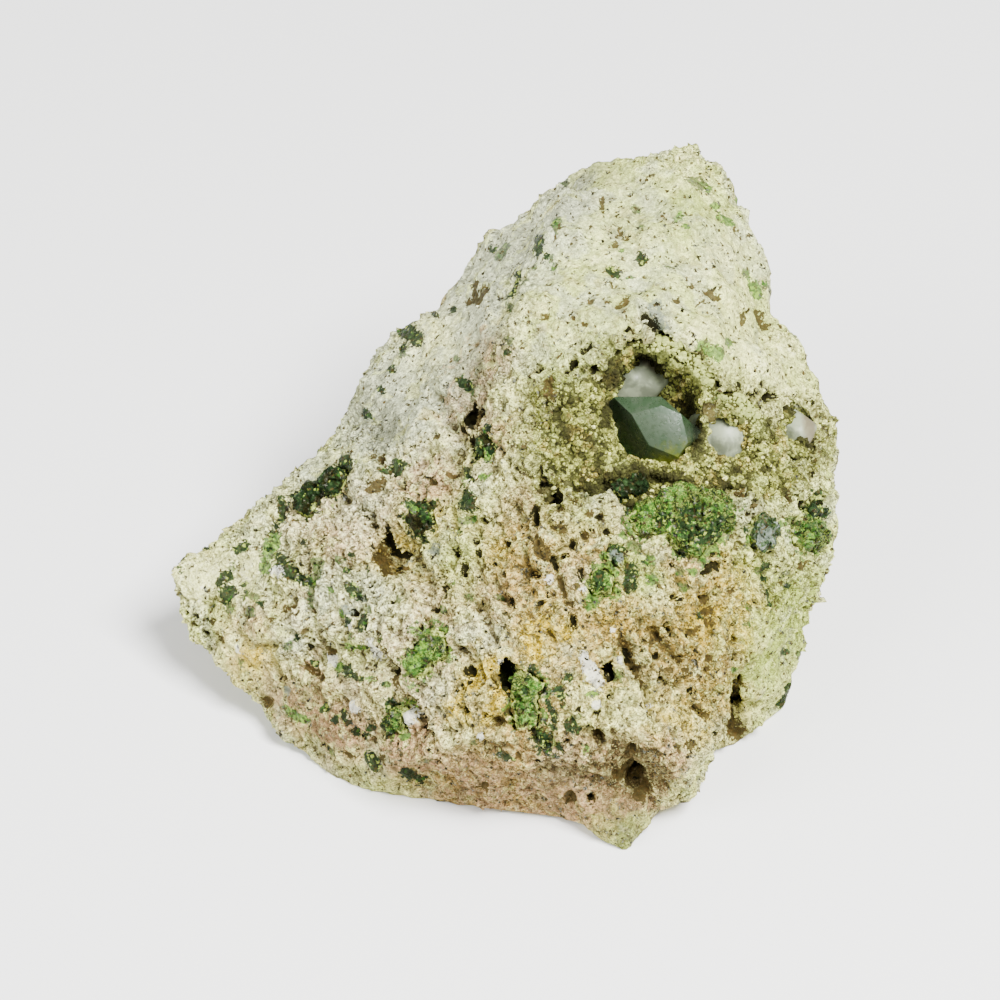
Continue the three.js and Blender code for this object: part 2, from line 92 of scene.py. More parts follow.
# The way in which the rock's ribs and furrows run
GRAIN = np.array((0.45 * RIGHT - 0.9 * UP).normalized())

# Widths in millimetres of the grains that the finishes draw, and how bright the brightest may be
SUGAR_CELLS = 0.13
CRUMB_CELLS = 0.42
FLECK_CELLS = 0.3
BRIGHTEST_GRAIN = 1.45

# Widths in millimetres of the blocks that the garnet masses break into, and where their pattern starts
BLOCK_SIZE = 1.15
BLOCK_SHIFT = 4.0

# Each block's tilt and tone are drawn from its place times one of these
TILT_CHANCE = 37.3
TONE_CHANCE = 91.7

# What is added to the stone stays this far above the floor
FLOOR_GAP = 0.05 * MM

# The middle of the stone, which the lights point to
LIT_PLACE = Vector((0, 0, 20)) * MM

# Starts of the draws by chance
NOISE_SEED = 7
ROCK_SEED = 5
GRAIN_SEED = 11
DRUSE_SEED = 23

# Tints of the rock, as soft clouds on the picture: across, down, reach in pixels and strength
TINTS = {
    "tan": [
        (540, 625, 50, 1.2), (610, 640, 45, 0.9), (680, 660, 50, 1.1), (600, 560, 40, 0.6),
        (440, 640, 40, 0.6), (380, 520, 40, 0.5), (520, 545, 40, 0.7), (690, 580, 40, 0.9),
        (480, 770, 60, 0.9), (250, 680, 30, 0.3), (430, 700, 40, 0.5), (560, 775, 60, 1.0),
        (720, 690, 30, 0.7), (420, 590, 40, 0.4), (575, 690, 30, 0.6),
    ],
    "pink": [
        (425, 480, 34, 0.9), (470, 350, 34, 1.0), (455, 400, 30, 0.9), (500, 440, 28, 0.6),
        (530, 500, 30, 0.5), (340, 540, 34, 0.7), (315, 610, 26, 0.8), (320, 650, 26, 0.9),
        (240, 655, 24, 0.4), (290, 700, 34, 0.5), (340, 730, 36, 0.8), (410, 745, 30, 1.0),
        (634, 773, 40, 1.4), (560, 790, 44, 1.0), (470, 785, 40, 0.8), (585, 755, 30, 0.9),
        (660, 745, 26, 0.7), (500, 590, 30, 0.4), (600, 600, 30, 0.4), (250, 625, 24, 0.5),
    ],
    "peach": [
        (640, 515, 30, 0.6), (690, 545, 24, 0.5), (580, 585, 22, 0.7), (345, 630, 26, 0.6),
        (400, 640, 30, 0.7), (340, 515, 30, 0.7), (300, 520, 24, 0.6), (370, 520, 30, 0.8),
        (440, 480, 30, 0.1), (425, 600, 26, 0.5), (360, 680, 26, 0.6), (420, 690, 24, 0.5),
        (640, 770, 20, 0.5), (560, 762, 20, 0.6), (510, 700, 20, 0.6),
    ],
    # grey: grey zones of the stone; the first four clouds also paint the cool shade of the upper left flank
    "grey": [
        (500, 240, 40, 1.0), (560, 195, 34, 0.9), (470, 285, 40, 0.8), (530, 215, 36, 0.8),
        (360, 505, 26, 0.5), (640, 200, 20, 0.4), (650, 260, 26, 0.4), (610, 300, 20, 0.3),
        (740, 240, 20, 0.4), (420, 350, 60, 0.8), (380, 420, 50, 0.9), (440, 300, 50, 0.7),
        (330, 600, 30, 0.8), (365, 600, 30, 0.8), (300, 640, 22, 0.6), (470, 640, 30, 0.4),
        (510, 640, 20, 0.5), (760, 220, 20, 0.3), (455, 700, 30, 0.6), (300, 470, 30, 0.6),
        (655, 330, 20, 0.7), (585, 345, 30, 0.3), (560, 650, 24, 0.5), (640, 700, 24, 0.5),
        (700, 730, 20, 0.4), (250, 560, 24, 0.5),
    ],
    "pale_green": [
        (717, 350, 26, 0.9), (690, 215, 40, 0.4), (760, 660, 40, 0.6), (790, 610, 40, 0.7),
        (600, 350, 30, 0.5), (600, 596, 16, 1.0), (648, 583, 12, 1.0), (640, 560, 30, 0.6),
        (745, 560, 24, 0.6), (820, 590, 24, 0.7), (460, 560, 26, 0.5), (350, 650, 20, 0.6),
        (560, 380, 20, 0.6), (620, 830, 24, 0.35), (640, 700, 20, 0.4), (590, 715, 24, 0.5),
        (810, 380, 24, 0.4), (545, 420, 20, 0.5), (770, 420, 30, 0.4),
    ],
    "ochre": [
        (486, 688, 22, 1.8), (548, 638, 26, 1.3), (655, 715, 26, 0.6), (700, 725, 22, 0.5),
        (462, 712, 14, 0.8), (498, 672, 12, 0.8), (610, 620, 20, 0.4), (394, 553, 20, 0.9),
        (490, 700, 26, 0.6), (600, 690, 14, 0.6), (740, 600, 24, 0.5), (728, 560, 20, 0.5),
        (697, 620, 24, 0.6), (505, 560, 24, 0.4), (201, 575, 20, 0.5), (440, 520, 20, 0.4),
        (733, 640, 18, 0.5), (255, 655, 18, 0.6), (670, 600, 24, 0.4),
    ],
    # shade: painted shade under the lower overhang, under the vug's upper rim and in pits and hollows
    "shade": [
        (634, 772, 30, 1.0), (600, 760, 24, 0.6), (656, 770, 18, 0.6), (470, 785, 40, 0.35),
        (560, 775, 40, 0.45), (400, 765, 30, 0.35), (330, 735, 30, 0.3), (270, 700, 26, 0.3),
        (735, 735, 16, 0.5), (487, 345, 14, 0.4), (395, 560, 16, 0.6), (670, 480, 14, 0.8),
        (312, 690, 12, 0.5), (500, 738, 12, 0.6), (640, 342, 20, 0.5), (726, 660, 12, 0.6),
        (648, 770, 22, 0.3),
    ],
    # pale: paler cream zones of the stone, and painted light at the left tip, which faces away from the key
    # light
    "pale": [
        (198, 576, 24, 1.3), (255, 568, 22, 0.9), (315, 628, 14, 0.9), (330, 655, 14, 0.8),
        (350, 600, 24, 0.5), (240, 640, 14, 0.5), (740, 350, 40, 0.5), (720, 260, 30, 0.4),
        (370, 660, 12, 0.7), (790, 400, 30, 0.4), (690, 340, 20, 0.5), (510, 470, 20, 0.3),
        (580, 700, 20, 0.5), (640, 715, 26, 0.5), (460, 735, 16, 0.5), (395, 610, 16, 0.5),
        (660, 600, 18, 0.4), (430, 340, 30, 0.5),
    ],
    # Clouds of painted shade that darken the rock's whole colour, on its overhangs and on faces that the
    # light reaches less
    "painted_shade_dim": [
        (468, 380, 28, 0.6), (378, 438, 20, 0.5), (620, 785, 34, 0.25), (560, 790, 40, 0.35),
        (470, 785, 40, 0.35), (315, 735, 34, 0.45), (625, 835, 30, 0.65), (280, 695, 24, 0.35),
        (735, 715, 24, 0.3), (700, 600, 26, 0.4), (350, 782, 20, 0.6), (340, 530, 30, 0.2),
        (560, 630, 40, 0.3), (660, 660, 50, 0.4), (520, 560, 40, 0.2), (555, 420, 20, 0.3),
        (630, 225, 40, 0.35), (760, 580, 30, 0.1), (480, 690, 26, 0.1), (600, 400, 60, 0.3),
        (780, 460, 50, 0.3), (595, 165, 26, 0.5), (560, 200, 26, 0.3), (410, 335, 16, 0.4),
        (370, 400, 26, 0.4), (395, 430, 26, 0.3),
    ],
    "olive": [
        (570, 425, 40, 1.0), (556, 470, 30, 0.9), (605, 368, 24, 0.8), (650, 350, 20, 0.6),
        (700, 398, 26, 0.9), (740, 462, 40, 1.0), (790, 455, 36, 0.9), (820, 425, 20, 0.6),
        (560, 492, 24, 0.8), (620, 474, 30, 0.9), (540, 400, 18, 0.6), (750, 405, 24, 0.8),
        (540, 450, 20, 0.6),
    ],
}

# Mineral patches in the rock, and holes painted near black as painted shade: under each radius in pixels the
# places, across and down, that a patch runs through one after the other
MINERALS = {
    "mid_green": {
        3: [
            (641, 226), (668, 268), (535, 267), (455, 357), (311, 592, 311, 604), (354, 638), (391, 662),
            (808, 550), (474, 742), (428, 758), (745, 625), (500, 596), (454, 585),
        ],
        4: [
            (635, 208), (565, 182), (557, 222, 557, 230), (551, 258), (527, 284), (510, 306), (509, 340),
            (500, 258, 508, 248), (258, 600, 248, 598), (232, 568), (370, 610), (243, 661), (606, 586),
            (643, 533), (575, 716), (531, 717), (750, 549), (788, 575), (745, 606), (330, 752), (745, 273),
            (763, 286), (700, 505), (680, 572), (470, 520), (465, 532), (340, 560), (445, 610), (437, 640),
            (470, 600), (400, 600),
        ],
        5: [
            (692, 184, 700, 187), (470, 388), (405, 355), (252, 614), (232, 608), (292, 646), (682, 587),
            (524, 706), (795, 522), (762, 572), (396, 718), (796, 690), (798, 655), (468, 500),
        ],
        6: [(318, 564, 320, 574, 316, 586), (696, 545), (618, 676)],
        7: [(634, 546)],
        8: [(814, 530)],
    },
    "bright_green": {
        3: [
            (685, 228), (760, 284), (556, 226), (553, 268), (622, 252), (630, 276), (282, 564), (388, 684),
            (286, 708), (247, 592), (330, 590), (475, 518), (405, 737), (733, 668), (585, 747), (384, 640),
            (316, 582),
        ],
        4: [
            (707, 190), (716, 206), (722, 218, 730, 224), (752, 284, 756, 296), (272, 572), (339, 612),
            (350, 647), (360, 649), (374, 680), (290, 713, 303, 719), (593, 694), (651, 508), (532, 686),
            (531, 722), (478, 446, 487, 458), (466, 480), (484, 478), (784, 524), (748, 540), (690, 572),
        ],
        5: [
            (679, 216), (728, 343), (338, 667), (590, 606), (667, 508), (650, 560), (414, 508), (812, 534),
            (604, 556), (625, 535), (660, 530),
        ],
        6: [
            (703, 346, 716, 354), (268, 552, 264, 568), (594, 596), (648, 582), (640, 512), (718, 508),
            (274, 536, 270, 548), (420, 646, 412, 672),
        ],
    },
    "dark_green": {
        2: [(214, 605), (263, 566), (366, 571), (368, 599), (384, 684), (492, 493), (500, 748, 514, 752)],
        3: [
            (547, 256), (521, 274, 515, 287, 512, 294), (506, 298), (363, 378), (453, 308), (435, 314),
            (435, 396), (385, 473), (505, 351), (284, 505, 277, 528), (183, 572), (208, 549),
            (238, 553, 248, 546), (242, 583), (268, 549), (345, 570), (352, 555), (313, 663), (328, 750),
            (644, 564), (549, 702, 555, 718), (564, 705), (770, 545), (765, 582), (772, 608), (792, 588),
            (745, 530), (752, 556), (426, 660), (527, 678), (612, 545), (262, 605),
        ],
        4: [
            (611, 269, 617, 274), (641, 256, 643, 263), (541, 240, 539, 252), (393, 370), (383, 391),
            (368, 415), (494, 250), (226, 600), (278, 556, 284, 560), (305, 544), (348, 666, 357, 675),
            (364, 680), (335, 720), (343, 712, 347, 721), (369, 728), (364, 737), (386, 724), (391, 734),
            (392, 703), (325, 709), (420, 783), (465, 468, 470, 478), (479, 444, 480, 456), (688, 545),
            (614, 562), (622, 548), (558, 690, 563, 697), (545, 690), (579, 730), (697, 618), (771, 524),
            (768, 594, 766, 602), (800, 534), (784, 652), (790, 684, 780, 704), (704, 506), (300, 637),
            (524, 690),
        ],
        5: [
            (405, 350), (461, 381, 468, 385), (227, 575, 222, 584), (302, 580, 309, 581),
            (353, 587, 356, 594), (346, 621), (366, 619, 363, 627), (354, 732), (368, 757, 377, 765),
            (404, 770, 412, 777), (599, 574, 600, 585), (568, 678), (533, 670), (766, 568),
        ],
        6: [
            (403, 466, 397, 472), (298, 496, 318, 488), (330, 492, 346, 462), (231, 592),
            (287, 567, 294, 574), (468, 494, 472, 506), (629, 572, 628, 588), (680, 556), (571, 724),
            (537, 734, 548, 742), (806, 508, 822, 513), (664, 514, 661, 522), (424, 512, 430, 526),
        ],
        7: [(717, 518, 714, 535)],
        8: [(406, 331, 416, 338)],
        10: [(690, 516, 686, 530)],
        11: [(700, 534)],
    },
    "blue_grey": {
        3: [(643, 259), (602, 582)],
        4: [(558, 692), (345, 622), (490, 428), (364, 600), (287, 690)],
        5: [(654, 308, 662, 334), (436, 550), (345, 610)],
        7: [(616, 556)],
        8: [(765, 532)],
    },
    "white": {
        2: [(614, 631)],
        3: [(659, 706), (583, 590), (240, 650), (500, 662), (350, 627), (620, 660)],
        4: [(549, 579), (596, 705), (484, 732)],
        5: [(584, 658, 590, 672, 598, 684), (330, 660), (357, 706)],
        6: [(283, 574), (370, 645, 376, 655)],
        8: [(408, 717)],
    },
    # brown: brown grains and pits of the stone, and painted shade in the pits and under the lower overhang
    "brown": {
        2: [
            (619, 227, 621, 232), (626, 239), (606, 299), (692, 286), (703, 303), (602, 200, 603, 212),
            (573, 318), (556, 238), (645, 276), (663, 291), (663, 215), (345, 753, 353, 758),
            (556, 565, 560, 580, 565, 594), (582, 594),
        ],
        3: [
            (590, 300), (618, 303, 627, 297), (708, 292, 715, 299), (675, 303), (758, 311, 768, 326),
            (477, 285, 473, 300), (585, 324), (614, 285), (615, 246), (735, 230), (424, 475), (437, 437),
            (446, 472), (432, 482), (550, 380, 547, 395), (475, 413, 477, 425), (272, 620), (306, 630),
            (330, 650), (286, 678), (305, 664, 310, 671), (319, 674, 323, 679), (382, 757),
            (395, 673, 396, 684), (387, 650), (372, 556), (573, 616, 574, 627), (577, 587),
            (622, 640, 630, 648), (636, 664, 640, 676), (645, 682, 653, 694), (656, 588), (704, 668),
            (668, 670), (684, 670), (749, 655), (805, 562, 797, 568), (785, 587), (520, 750), (440, 760),
            (372, 740), (750, 512), (755, 505), (575, 500), (554, 528), (590, 515), (600, 516),
        ],
        4: [
            (741, 316, 741, 322), (487, 290, 479, 303), (467, 300), (546, 318), (372, 455),
            (370, 490, 385, 484), (286, 609), (294, 607), (650, 642), (660, 640), (692, 632), (706, 624),
            (726, 590), (708, 658), (676, 660), (696, 708), (706, 716), (688, 745), (676, 747), (508, 712),
            (484, 786), (592, 797), (612, 728), (730, 714), (216, 622), (788, 497), (742, 493),
            (540, 545, 546, 556), (560, 508), (562, 530), (585, 536),
        ],
        5: [
            (383, 458), (702, 598), (707, 612), (500, 722), (640, 795), (618, 774), (600, 736), (224, 636),
        ],
        6: [(402, 568), (630, 752), (646, 790), (570, 798), (734, 722, 738, 738), (265, 703)],
        7: [(381, 550, 388, 567), (626, 770)],
        9: [(634, 778)],
    },
    # hollow: holes painted near black, the painted shade inside them
    "hollow": {
        2: [(717, 553), (637, 668), (476, 344), (660, 709), (478, 545)],
        3: [
            (613, 696), (573, 618, 573, 626), (580, 570, 583, 579), (553, 559, 557, 568),
            (668, 625, 672, 634), (673, 598), (711, 563, 702, 573), (630, 654, 632, 660), (703, 713),
            (707, 699), (688, 691), (466, 566, 465, 574), (480, 412),
            (386, 520, 389, 538, 396, 550, 407, 557), (545, 468, 541, 480), (567, 372),
            (583, 349, 588, 345), (585, 492, 598, 489), (754, 500), (573, 543), (566, 556), (607, 533),
            (600, 499), (481, 555), (456, 550), (531, 730, 537, 735), (754, 394), (764, 384), (656, 656),
            (310, 646), (632, 750), (590, 797), (531, 572), (720, 385), (738, 386), (420, 730), (510, 600),
            (436, 610), (486, 520), (520, 470), (508, 545), (352, 612),
        ],
        4: [
            (607, 668, 609, 676), (446, 589), (470, 404, 469, 420), (471, 432, 470, 444),
            (535, 508, 533, 522), (561, 458), (557, 413, 562, 420), (573, 360, 574, 367),
            (531, 371, 537, 367), (595, 370), (816, 500, 803, 506),
            (645, 316, 652, 324, 660, 336, 666, 343), (465, 671), (735, 700), (772, 395), (638, 776),
            (536, 575), (690, 384, 704, 388, 712, 396), (395, 670),
            (600, 480, 622, 474, 648, 476, 666, 486),
        ],
        5: [
            (564, 426, 567, 436), (713, 484, 721, 492), (750, 490), (614, 362, 619, 368, 613, 378),
            (815, 465), (634, 344, 648, 350), (664, 364, 680, 374),
        ],
        6: [(506, 667, 511, 676, 515, 692), (545, 490, 555, 497)],
    },
}

# Where the vug runs in so deep that no light is seen, and holes in its druse
VUG_SHADES = {
    3: [(560, 445)],
    4: [
        (600, 455, 596, 470), (640, 470, 664, 476), (570, 400), (760, 440), (590, 440), (765, 470),
        (580, 455),
    ],
    5: [
        (690, 398, 694, 414), (557, 413, 566, 436), (533, 505), (790, 412), (606, 405, 604, 425),
        (735, 470), (745, 410), (600, 478, 625, 472, 655, 476, 690, 482),
    ],
    6: [(700, 430, 697, 455), (770, 395, 780, 400), (800, 425, 806, 438), (806, 420, 811, 444)],
    7: [(745, 490)],
    8: [(644, 352, 656, 364), (614, 366, 610, 382), (592, 492, 604, 486)],
}

# Where the rock's cream crust has grown over the druse, and where the milky crystals are in shadow
VUG_LIGHTS = {
    8: [(608, 350, 630, 338)],
    12: [(648, 336, 690, 356, 715, 375), (715, 380, 752, 408)],
}
MILKY_SHADES = {
    6: [(706, 400), (808, 420, 812, 446)],
    8: [(598, 392, 612, 382)],
    9: [(646, 354, 660, 363)],
}

# Forms raised from the rock or pressed into it: radius in pixels, height in millimetres and the places
# that each runs through
LUMPS = [
    (13, 0.8, 284, 577), (10, 0.6, 364, 702), (9, 0.7, 373, 691), (9, 1.1, 408, 719), (14, 0.8, 330, 545),
    (9, 0.8, 424, 515), (12, 0.6, 600, 320), (8, 0.6, 660, 300), (12, 0.7, 585, 640), (9, 0.6, 655, 590),
    (8, 0.7, 590, 676), (10, 0.8, 640, 690), (12, 0.8, 480, 690), (10, 0.6, 350, 590), (8, 0.7, 430, 560),
    (9, 0.7, 545, 600), (12, 0.7, 770, 545), (8, 0.7, 680, 640), (8, 0.6, 520, 470), (12, 0.8, 250, 600),
    (8, 0.6, 225, 590), (9, 0.6, 300, 610), (9, 0.7, 455, 640), (9, 0.7, 560, 520), (8, 0.6, 590, 530),
    (9, 0.6, 545, 540), (8, 0.6, 415, 590), (14, 0.9, 270, 630), (10, 0.7, 350, 640), (9, 0.6, 520, 640),
    (10, 0.7, 610, 605), (9, 0.7, 690, 690), (9, 0.8, 660, 730),
]
GULLIES = [
    (8, 0.4, 311, 600, 315, 642, 329, 669), (7, 0.8, 413, 702, 427, 731), (6, 0.9, 300, 655, 320, 676),
    (6, 0.9, 387, 660, 376, 650), (6, 0.9, 495, 722, 520, 730), (6, 1.1, 730, 640),
    (6, 0.9, 500, 596, 512, 604), (5, 0.8, 402, 640, 398, 620), (7, 1.2, 736, 690, 733, 735),
    (6, 0.9, 345, 705, 330, 694), (9, 1.3, 430, 395, 455, 430, 452, 470), (9, 0.9, 345, 495, 375, 520),
    (10, 1.2, 382, 540, 392, 566), (7, 1.0, 518, 505, 528, 540, 520, 575), (6, 0.8, 560, 560, 566, 600),
    (7, 0.9, 620, 635, 655, 700), (12, 1.2, 640, 778), (8, 0.9, 420, 560, 432, 600),
    (7, 0.8, 330, 590, 338, 620), (8, 0.9, 480, 600, 492, 640), (7, 0.9, 640, 615, 668, 650),
    (8, 0.9, 380, 620, 360, 655),
]

# Faces of the rock that are smoother than the rest: across, down, reach and how smooth
CALM_FACES = [
    (640, 235, 70, 1.0), (720, 270, 60, 1.0), (700, 345, 45, 0.8), (580, 290, 45, 0.8),
    (400, 400, 60, 0.9), (440, 320, 50, 0.8), (775, 640, 40, 0.8), (620, 820, 40, 0.9),
    (785, 375, 30, 0.7), (550, 230, 40, 0.7), (550, 340, 30, 0.6), (320, 470, 30, 0.6),
    (200, 576, 26, 1.0), (255, 568, 20, 0.7), (270, 700, 36, 0.8), (330, 745, 40, 0.7),
    (480, 780, 46, 0.6), (560, 795, 36, 0.6), (400, 775, 36, 0.7), (660, 230, 90, 0.5),
    (620, 300, 40, 0.5), (740, 330, 50, 0.6), (480, 290, 40, 0.6), (500, 240, 40, 0.7),
    (265, 630, 24, 0.5), (235, 655, 26, 0.8), (690, 780, 24, 0.5), (760, 690, 30, 0.6),
    (830, 520, 20, 0.6), (590, 170, 30, 0.8), (475, 345, 26, 0.6), (580, 660, 24, 0.4),
    (640, 710, 26, 0.4),
]

# The light edge of the ledge that runs above the lower overhang, and the broken edge at the right
EDGES = [
    (6, 0.6, 201, 611, 228, 634, 257, 657, 293, 651, 326, 680, 350, 707, 373, 733, 413, 758, 445, 745,
     475, 732, 498, 732, 526, 730, 534, 742, 560, 733, 588, 724, 613, 724, 641, 740, 654, 742),
    (5, 0.6, 724, 508, 722, 560, 718, 620, 722, 680, 718, 742),
]


def eye():
    """Where the picture was taken from, and the point that it looks at."""
    low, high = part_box("demantoid_crystal")
    target = (low + high) / 2 + TARGET_FROM_CRYSTAL
    return target + TOWARD * VIEW_DISTANCE, target


def in_picture(points):
    """The pixel, across and down, at which each point is seen, as rows."""
    origin, _ = eye()
    away = points - np.array(origin)
    depth = -(away @ np.array(TOWARD))
    scale = VIEW_DISTANCE / depth / PIXEL
    across = PICTURE_WIDTH / 2 + (away @ np.array(RIGHT)) * scale
    down = PICTURE_WIDTH / 2 - (away @ np.array(UP)) * scale
    return np.stack([across, down], axis=1)


def toward_eye(normals):
    """How much each normal turns to the eye: 1 straight at it, 0 across and -1 away from it."""
    return normals @ np.array(TOWARD)


# Meshes


def deselect_all():
    for thing in bpy.context.view_layer.objects:
        thing.select_set(False)


def activate(piece):
    """Selects one piece alone, so that the next operator acts on it."""
    deselect_all()
    piece.select_set(True)
    bpy.context.view_layer.objects.active = piece


def copy_of(node, name):
    """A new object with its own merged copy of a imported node's mesh."""
    source = frame["nodes"][node]
    piece = bpy.data.objects.new(name, source.data.copy())
    piece.data.name = name
    piece.data.materials.clear()
    bpy.context.scene.collection.objects.link(piece)
    activate(piece)
    bpy.ops.object.mode_set(mode="EDIT")
    bpy.ops.mesh.select_all(action="SELECT")
    bpy.ops.mesh.remove_doubles(threshold=0.005 * MM)
    bpy.ops.object.mode_set(mode="OBJECT")
    return piece


def apply_modifier(piece, kind, **settings):
    """Adds a modifier, sets it and applies it."""
    activate(piece)
    modifier = piece.modifiers.new(kind.lower(), kind)
    for key, value in settings.items():
        setattr(modifier, key, value)
    bpy.ops.object.modifier_apply(modifier=modifier.name)


def read(items, key, width, kind=float):
    """One property of all items of a mesh, as rows of an array."""
    values = np.empty(len(items) * width, dtype=kind)
    items.foreach_get(key, values)
    return values.reshape(-1, width) if width > 1 else values


def corners_of(piece):
    """All vertices as rows of an array."""
    return read(piece.data.vertices, "co", 3)


def normals_of(piece):
    """All vertex normals as rows of an array."""
    return read(piece.data.vertex_normals, "vector", 3)


def triangles_of(piece):
    """All triangles as rows of vertex numbers."""
    piece.data.calc_loop_triangles()
    return read(piece.data.loop_triangles, "vertices", 3, np.int32)


def move_corners(piece, places):
    """Gives all vertices new places."""
    piece.data.vertices.foreach_set("co", places.ravel())
    piece.data.update()


def give_attribute(piece, name, values):
    """Writes one number a vertex, which the materials read."""
    attribute = piece.data.attributes.new(name, "FLOAT", "POINT")
    attribute.data.foreach_set("value", values.astype(np.float32))


def smooth_shaded(piece):
    """Shades a piece as one smooth surface."""
    activate(piece)
    bpy.ops.object.shade_smooth()


def aimed(name, data, place, target):
    """A light or camera at some place, turned to a target."""
    thing = bpy.data.objects.new(name, data)
    thing.location = place
    thing.rotation_mode = "QUATERNION"
    thing.rotation_quaternion = (target - place).to_track_quat("-Z", "Y")
    bpy.context.scene.collection.objects.link(thing)
    return thing


def surface_tree(*pieces):
    """A tree for asking where a ray meets some pieces."""
    corners, triangles, count = [], [], 0
    for piece in pieces:
        corners.append(corners_of(piece))
        triangles.append(triangles_of(piece) + count)
        count += len(corners[-1])
    return BVHTree.FromPolygons(np.concatenate(corners).tolist(), np.concatenate(triangles).tolist())


def new_mesh(name, corners, faces):
    """A piece from arrays of corners and faces."""
    mesh = bpy.data.meshes.new(name)
    mesh.from_pydata(corners.tolist(), [], faces.tolist())
    mesh.update()
    piece = bpy.data.objects.new(name, mesh)
    bpy.context.scene.collection.objects.link(piece)
    return piece


def fractal(points, wavelength, octaves=4, shift=0.0):
    """Smooth noise of some wavelength in millimetres, about -1 to 1. Each shift gives other noise."""
    start = Vector((shift, shift * 1.7, -shift))
    scaled = points / (wavelength * MM)
    return np.array([noise.fractal(Vector(point) + start, 1.0, 2.0, octaves) for point in scaled])


def granules(points, size, shift):
    """Cells of some size in millimetres: how round they are, how far their edges are, and their seeds."""
    noise.seed_set(NOISE_SEED)
    start = Vector((shift, -shift, shift * 0.6))
    roundness = np.empty(len(points))
    edges = np.empty(len(points))
    seeds = np.empty((len(points), 3))
    for index, point in enumerate(points / (size * MM)):
        place = Vector(point) + start
        place += 0.35 * noise.noise_vector(place * 1.3)
        away, near = noise.voronoi(place)
        roundness[index] = 1 - away[0] / 0.9
        edges[index] = away[1] - away[0]
        seeds[index] = near[0]
    return np.clip(roundness, 0, 1), edges, seeds


def smoothstep(values, low, high):
    """0 below low, 1 above high and smooth between."""
    share = np.clip((values - low) / (high - low), 0, 1)
    return share * share * (3 - 2 * share)


def smoothed(piece, values, rounds):
    """Each vertex's value averaged with its neighbours' several times."""
    first, second = read(piece.data.edges, "vertices", 2, np.int32).T
    count = len(values)
    degree = np.bincount(first, minlength=count) + np.bincount(second, minlength=count)
    for _ in range(rounds):
        around = np.bincount(first, values[second], count) + np.bincount(second, values[first], count)
        values = 0.5 * values + 0.5 * around / np.maximum(degree, 1)
    return values


def sheltered(points, normals, tree, reach, rays, random):
    """How much of the open side of each point is shut in by surfaces within some reach, 0 to 1."""
    clearance = 0.05 * MM
    start = points + normals * clearance
    shut = np.zeros(len(points))
    for _ in range(rays):
        aims = random.normal(size=points.shape)
        aims /= np.linalg.norm(aims, axis=1)[:, None]
        aims = normals * 1.05 + aims
        aims /= np.linalg.norm(aims, axis=1)[:, None]
        for index in range(len(points)):
            away = tree.ray_cast(Vector(start[index]), Vector(aims[index]), reach)[3]
            if away is not None:
                shut[index] += 1 - 0.6 * away / reach
    return shut / rays


def distance_to_line(points, run):
    """The distance from each pixel to a line through places that are listed across and down in turn."""
    line = np.array(run, dtype=float).reshape(-1, 2)
    nearest = np.full(len(points), np.inf)
    starts = line[:-1] if len(line) > 1 else line
    ends = line[1:] if len(line) > 1 else line
    for start, end in zip(starts, ends):
        along = end - start
        share = np.clip(((points - start) @ along) / max(along @ along, 1e-18), 0, 1)
        nearest = np.minimum(nearest, np.linalg.norm(points - start - share[:, None] * along, axis=1))
    return nearest


def cloud_share(seen, clouds):
    """How much each pixel lies in soft clouds of the picture, 0 to 1."""
    share = np.zeros(len(seen))
    for x, y, reach, strength in clouds:
        share += strength * np.exp(-((seen - (x, y)) ** 2).sum(1) / reach ** 2)
    return np.clip(share, 0, 1)


def patch_share(seen, patches):
    """How much each pixel lies in some patches of the picture, 0 to 1."""
    share = np.zeros(len(seen))
    for radius, runs in patches.items():
        for run in runs:
            away = distance_to_line(seen, run) / radius
            share = np.maximum(share, 1 - smoothstep(away, 0.6, 1.6))
    return share


# Materials


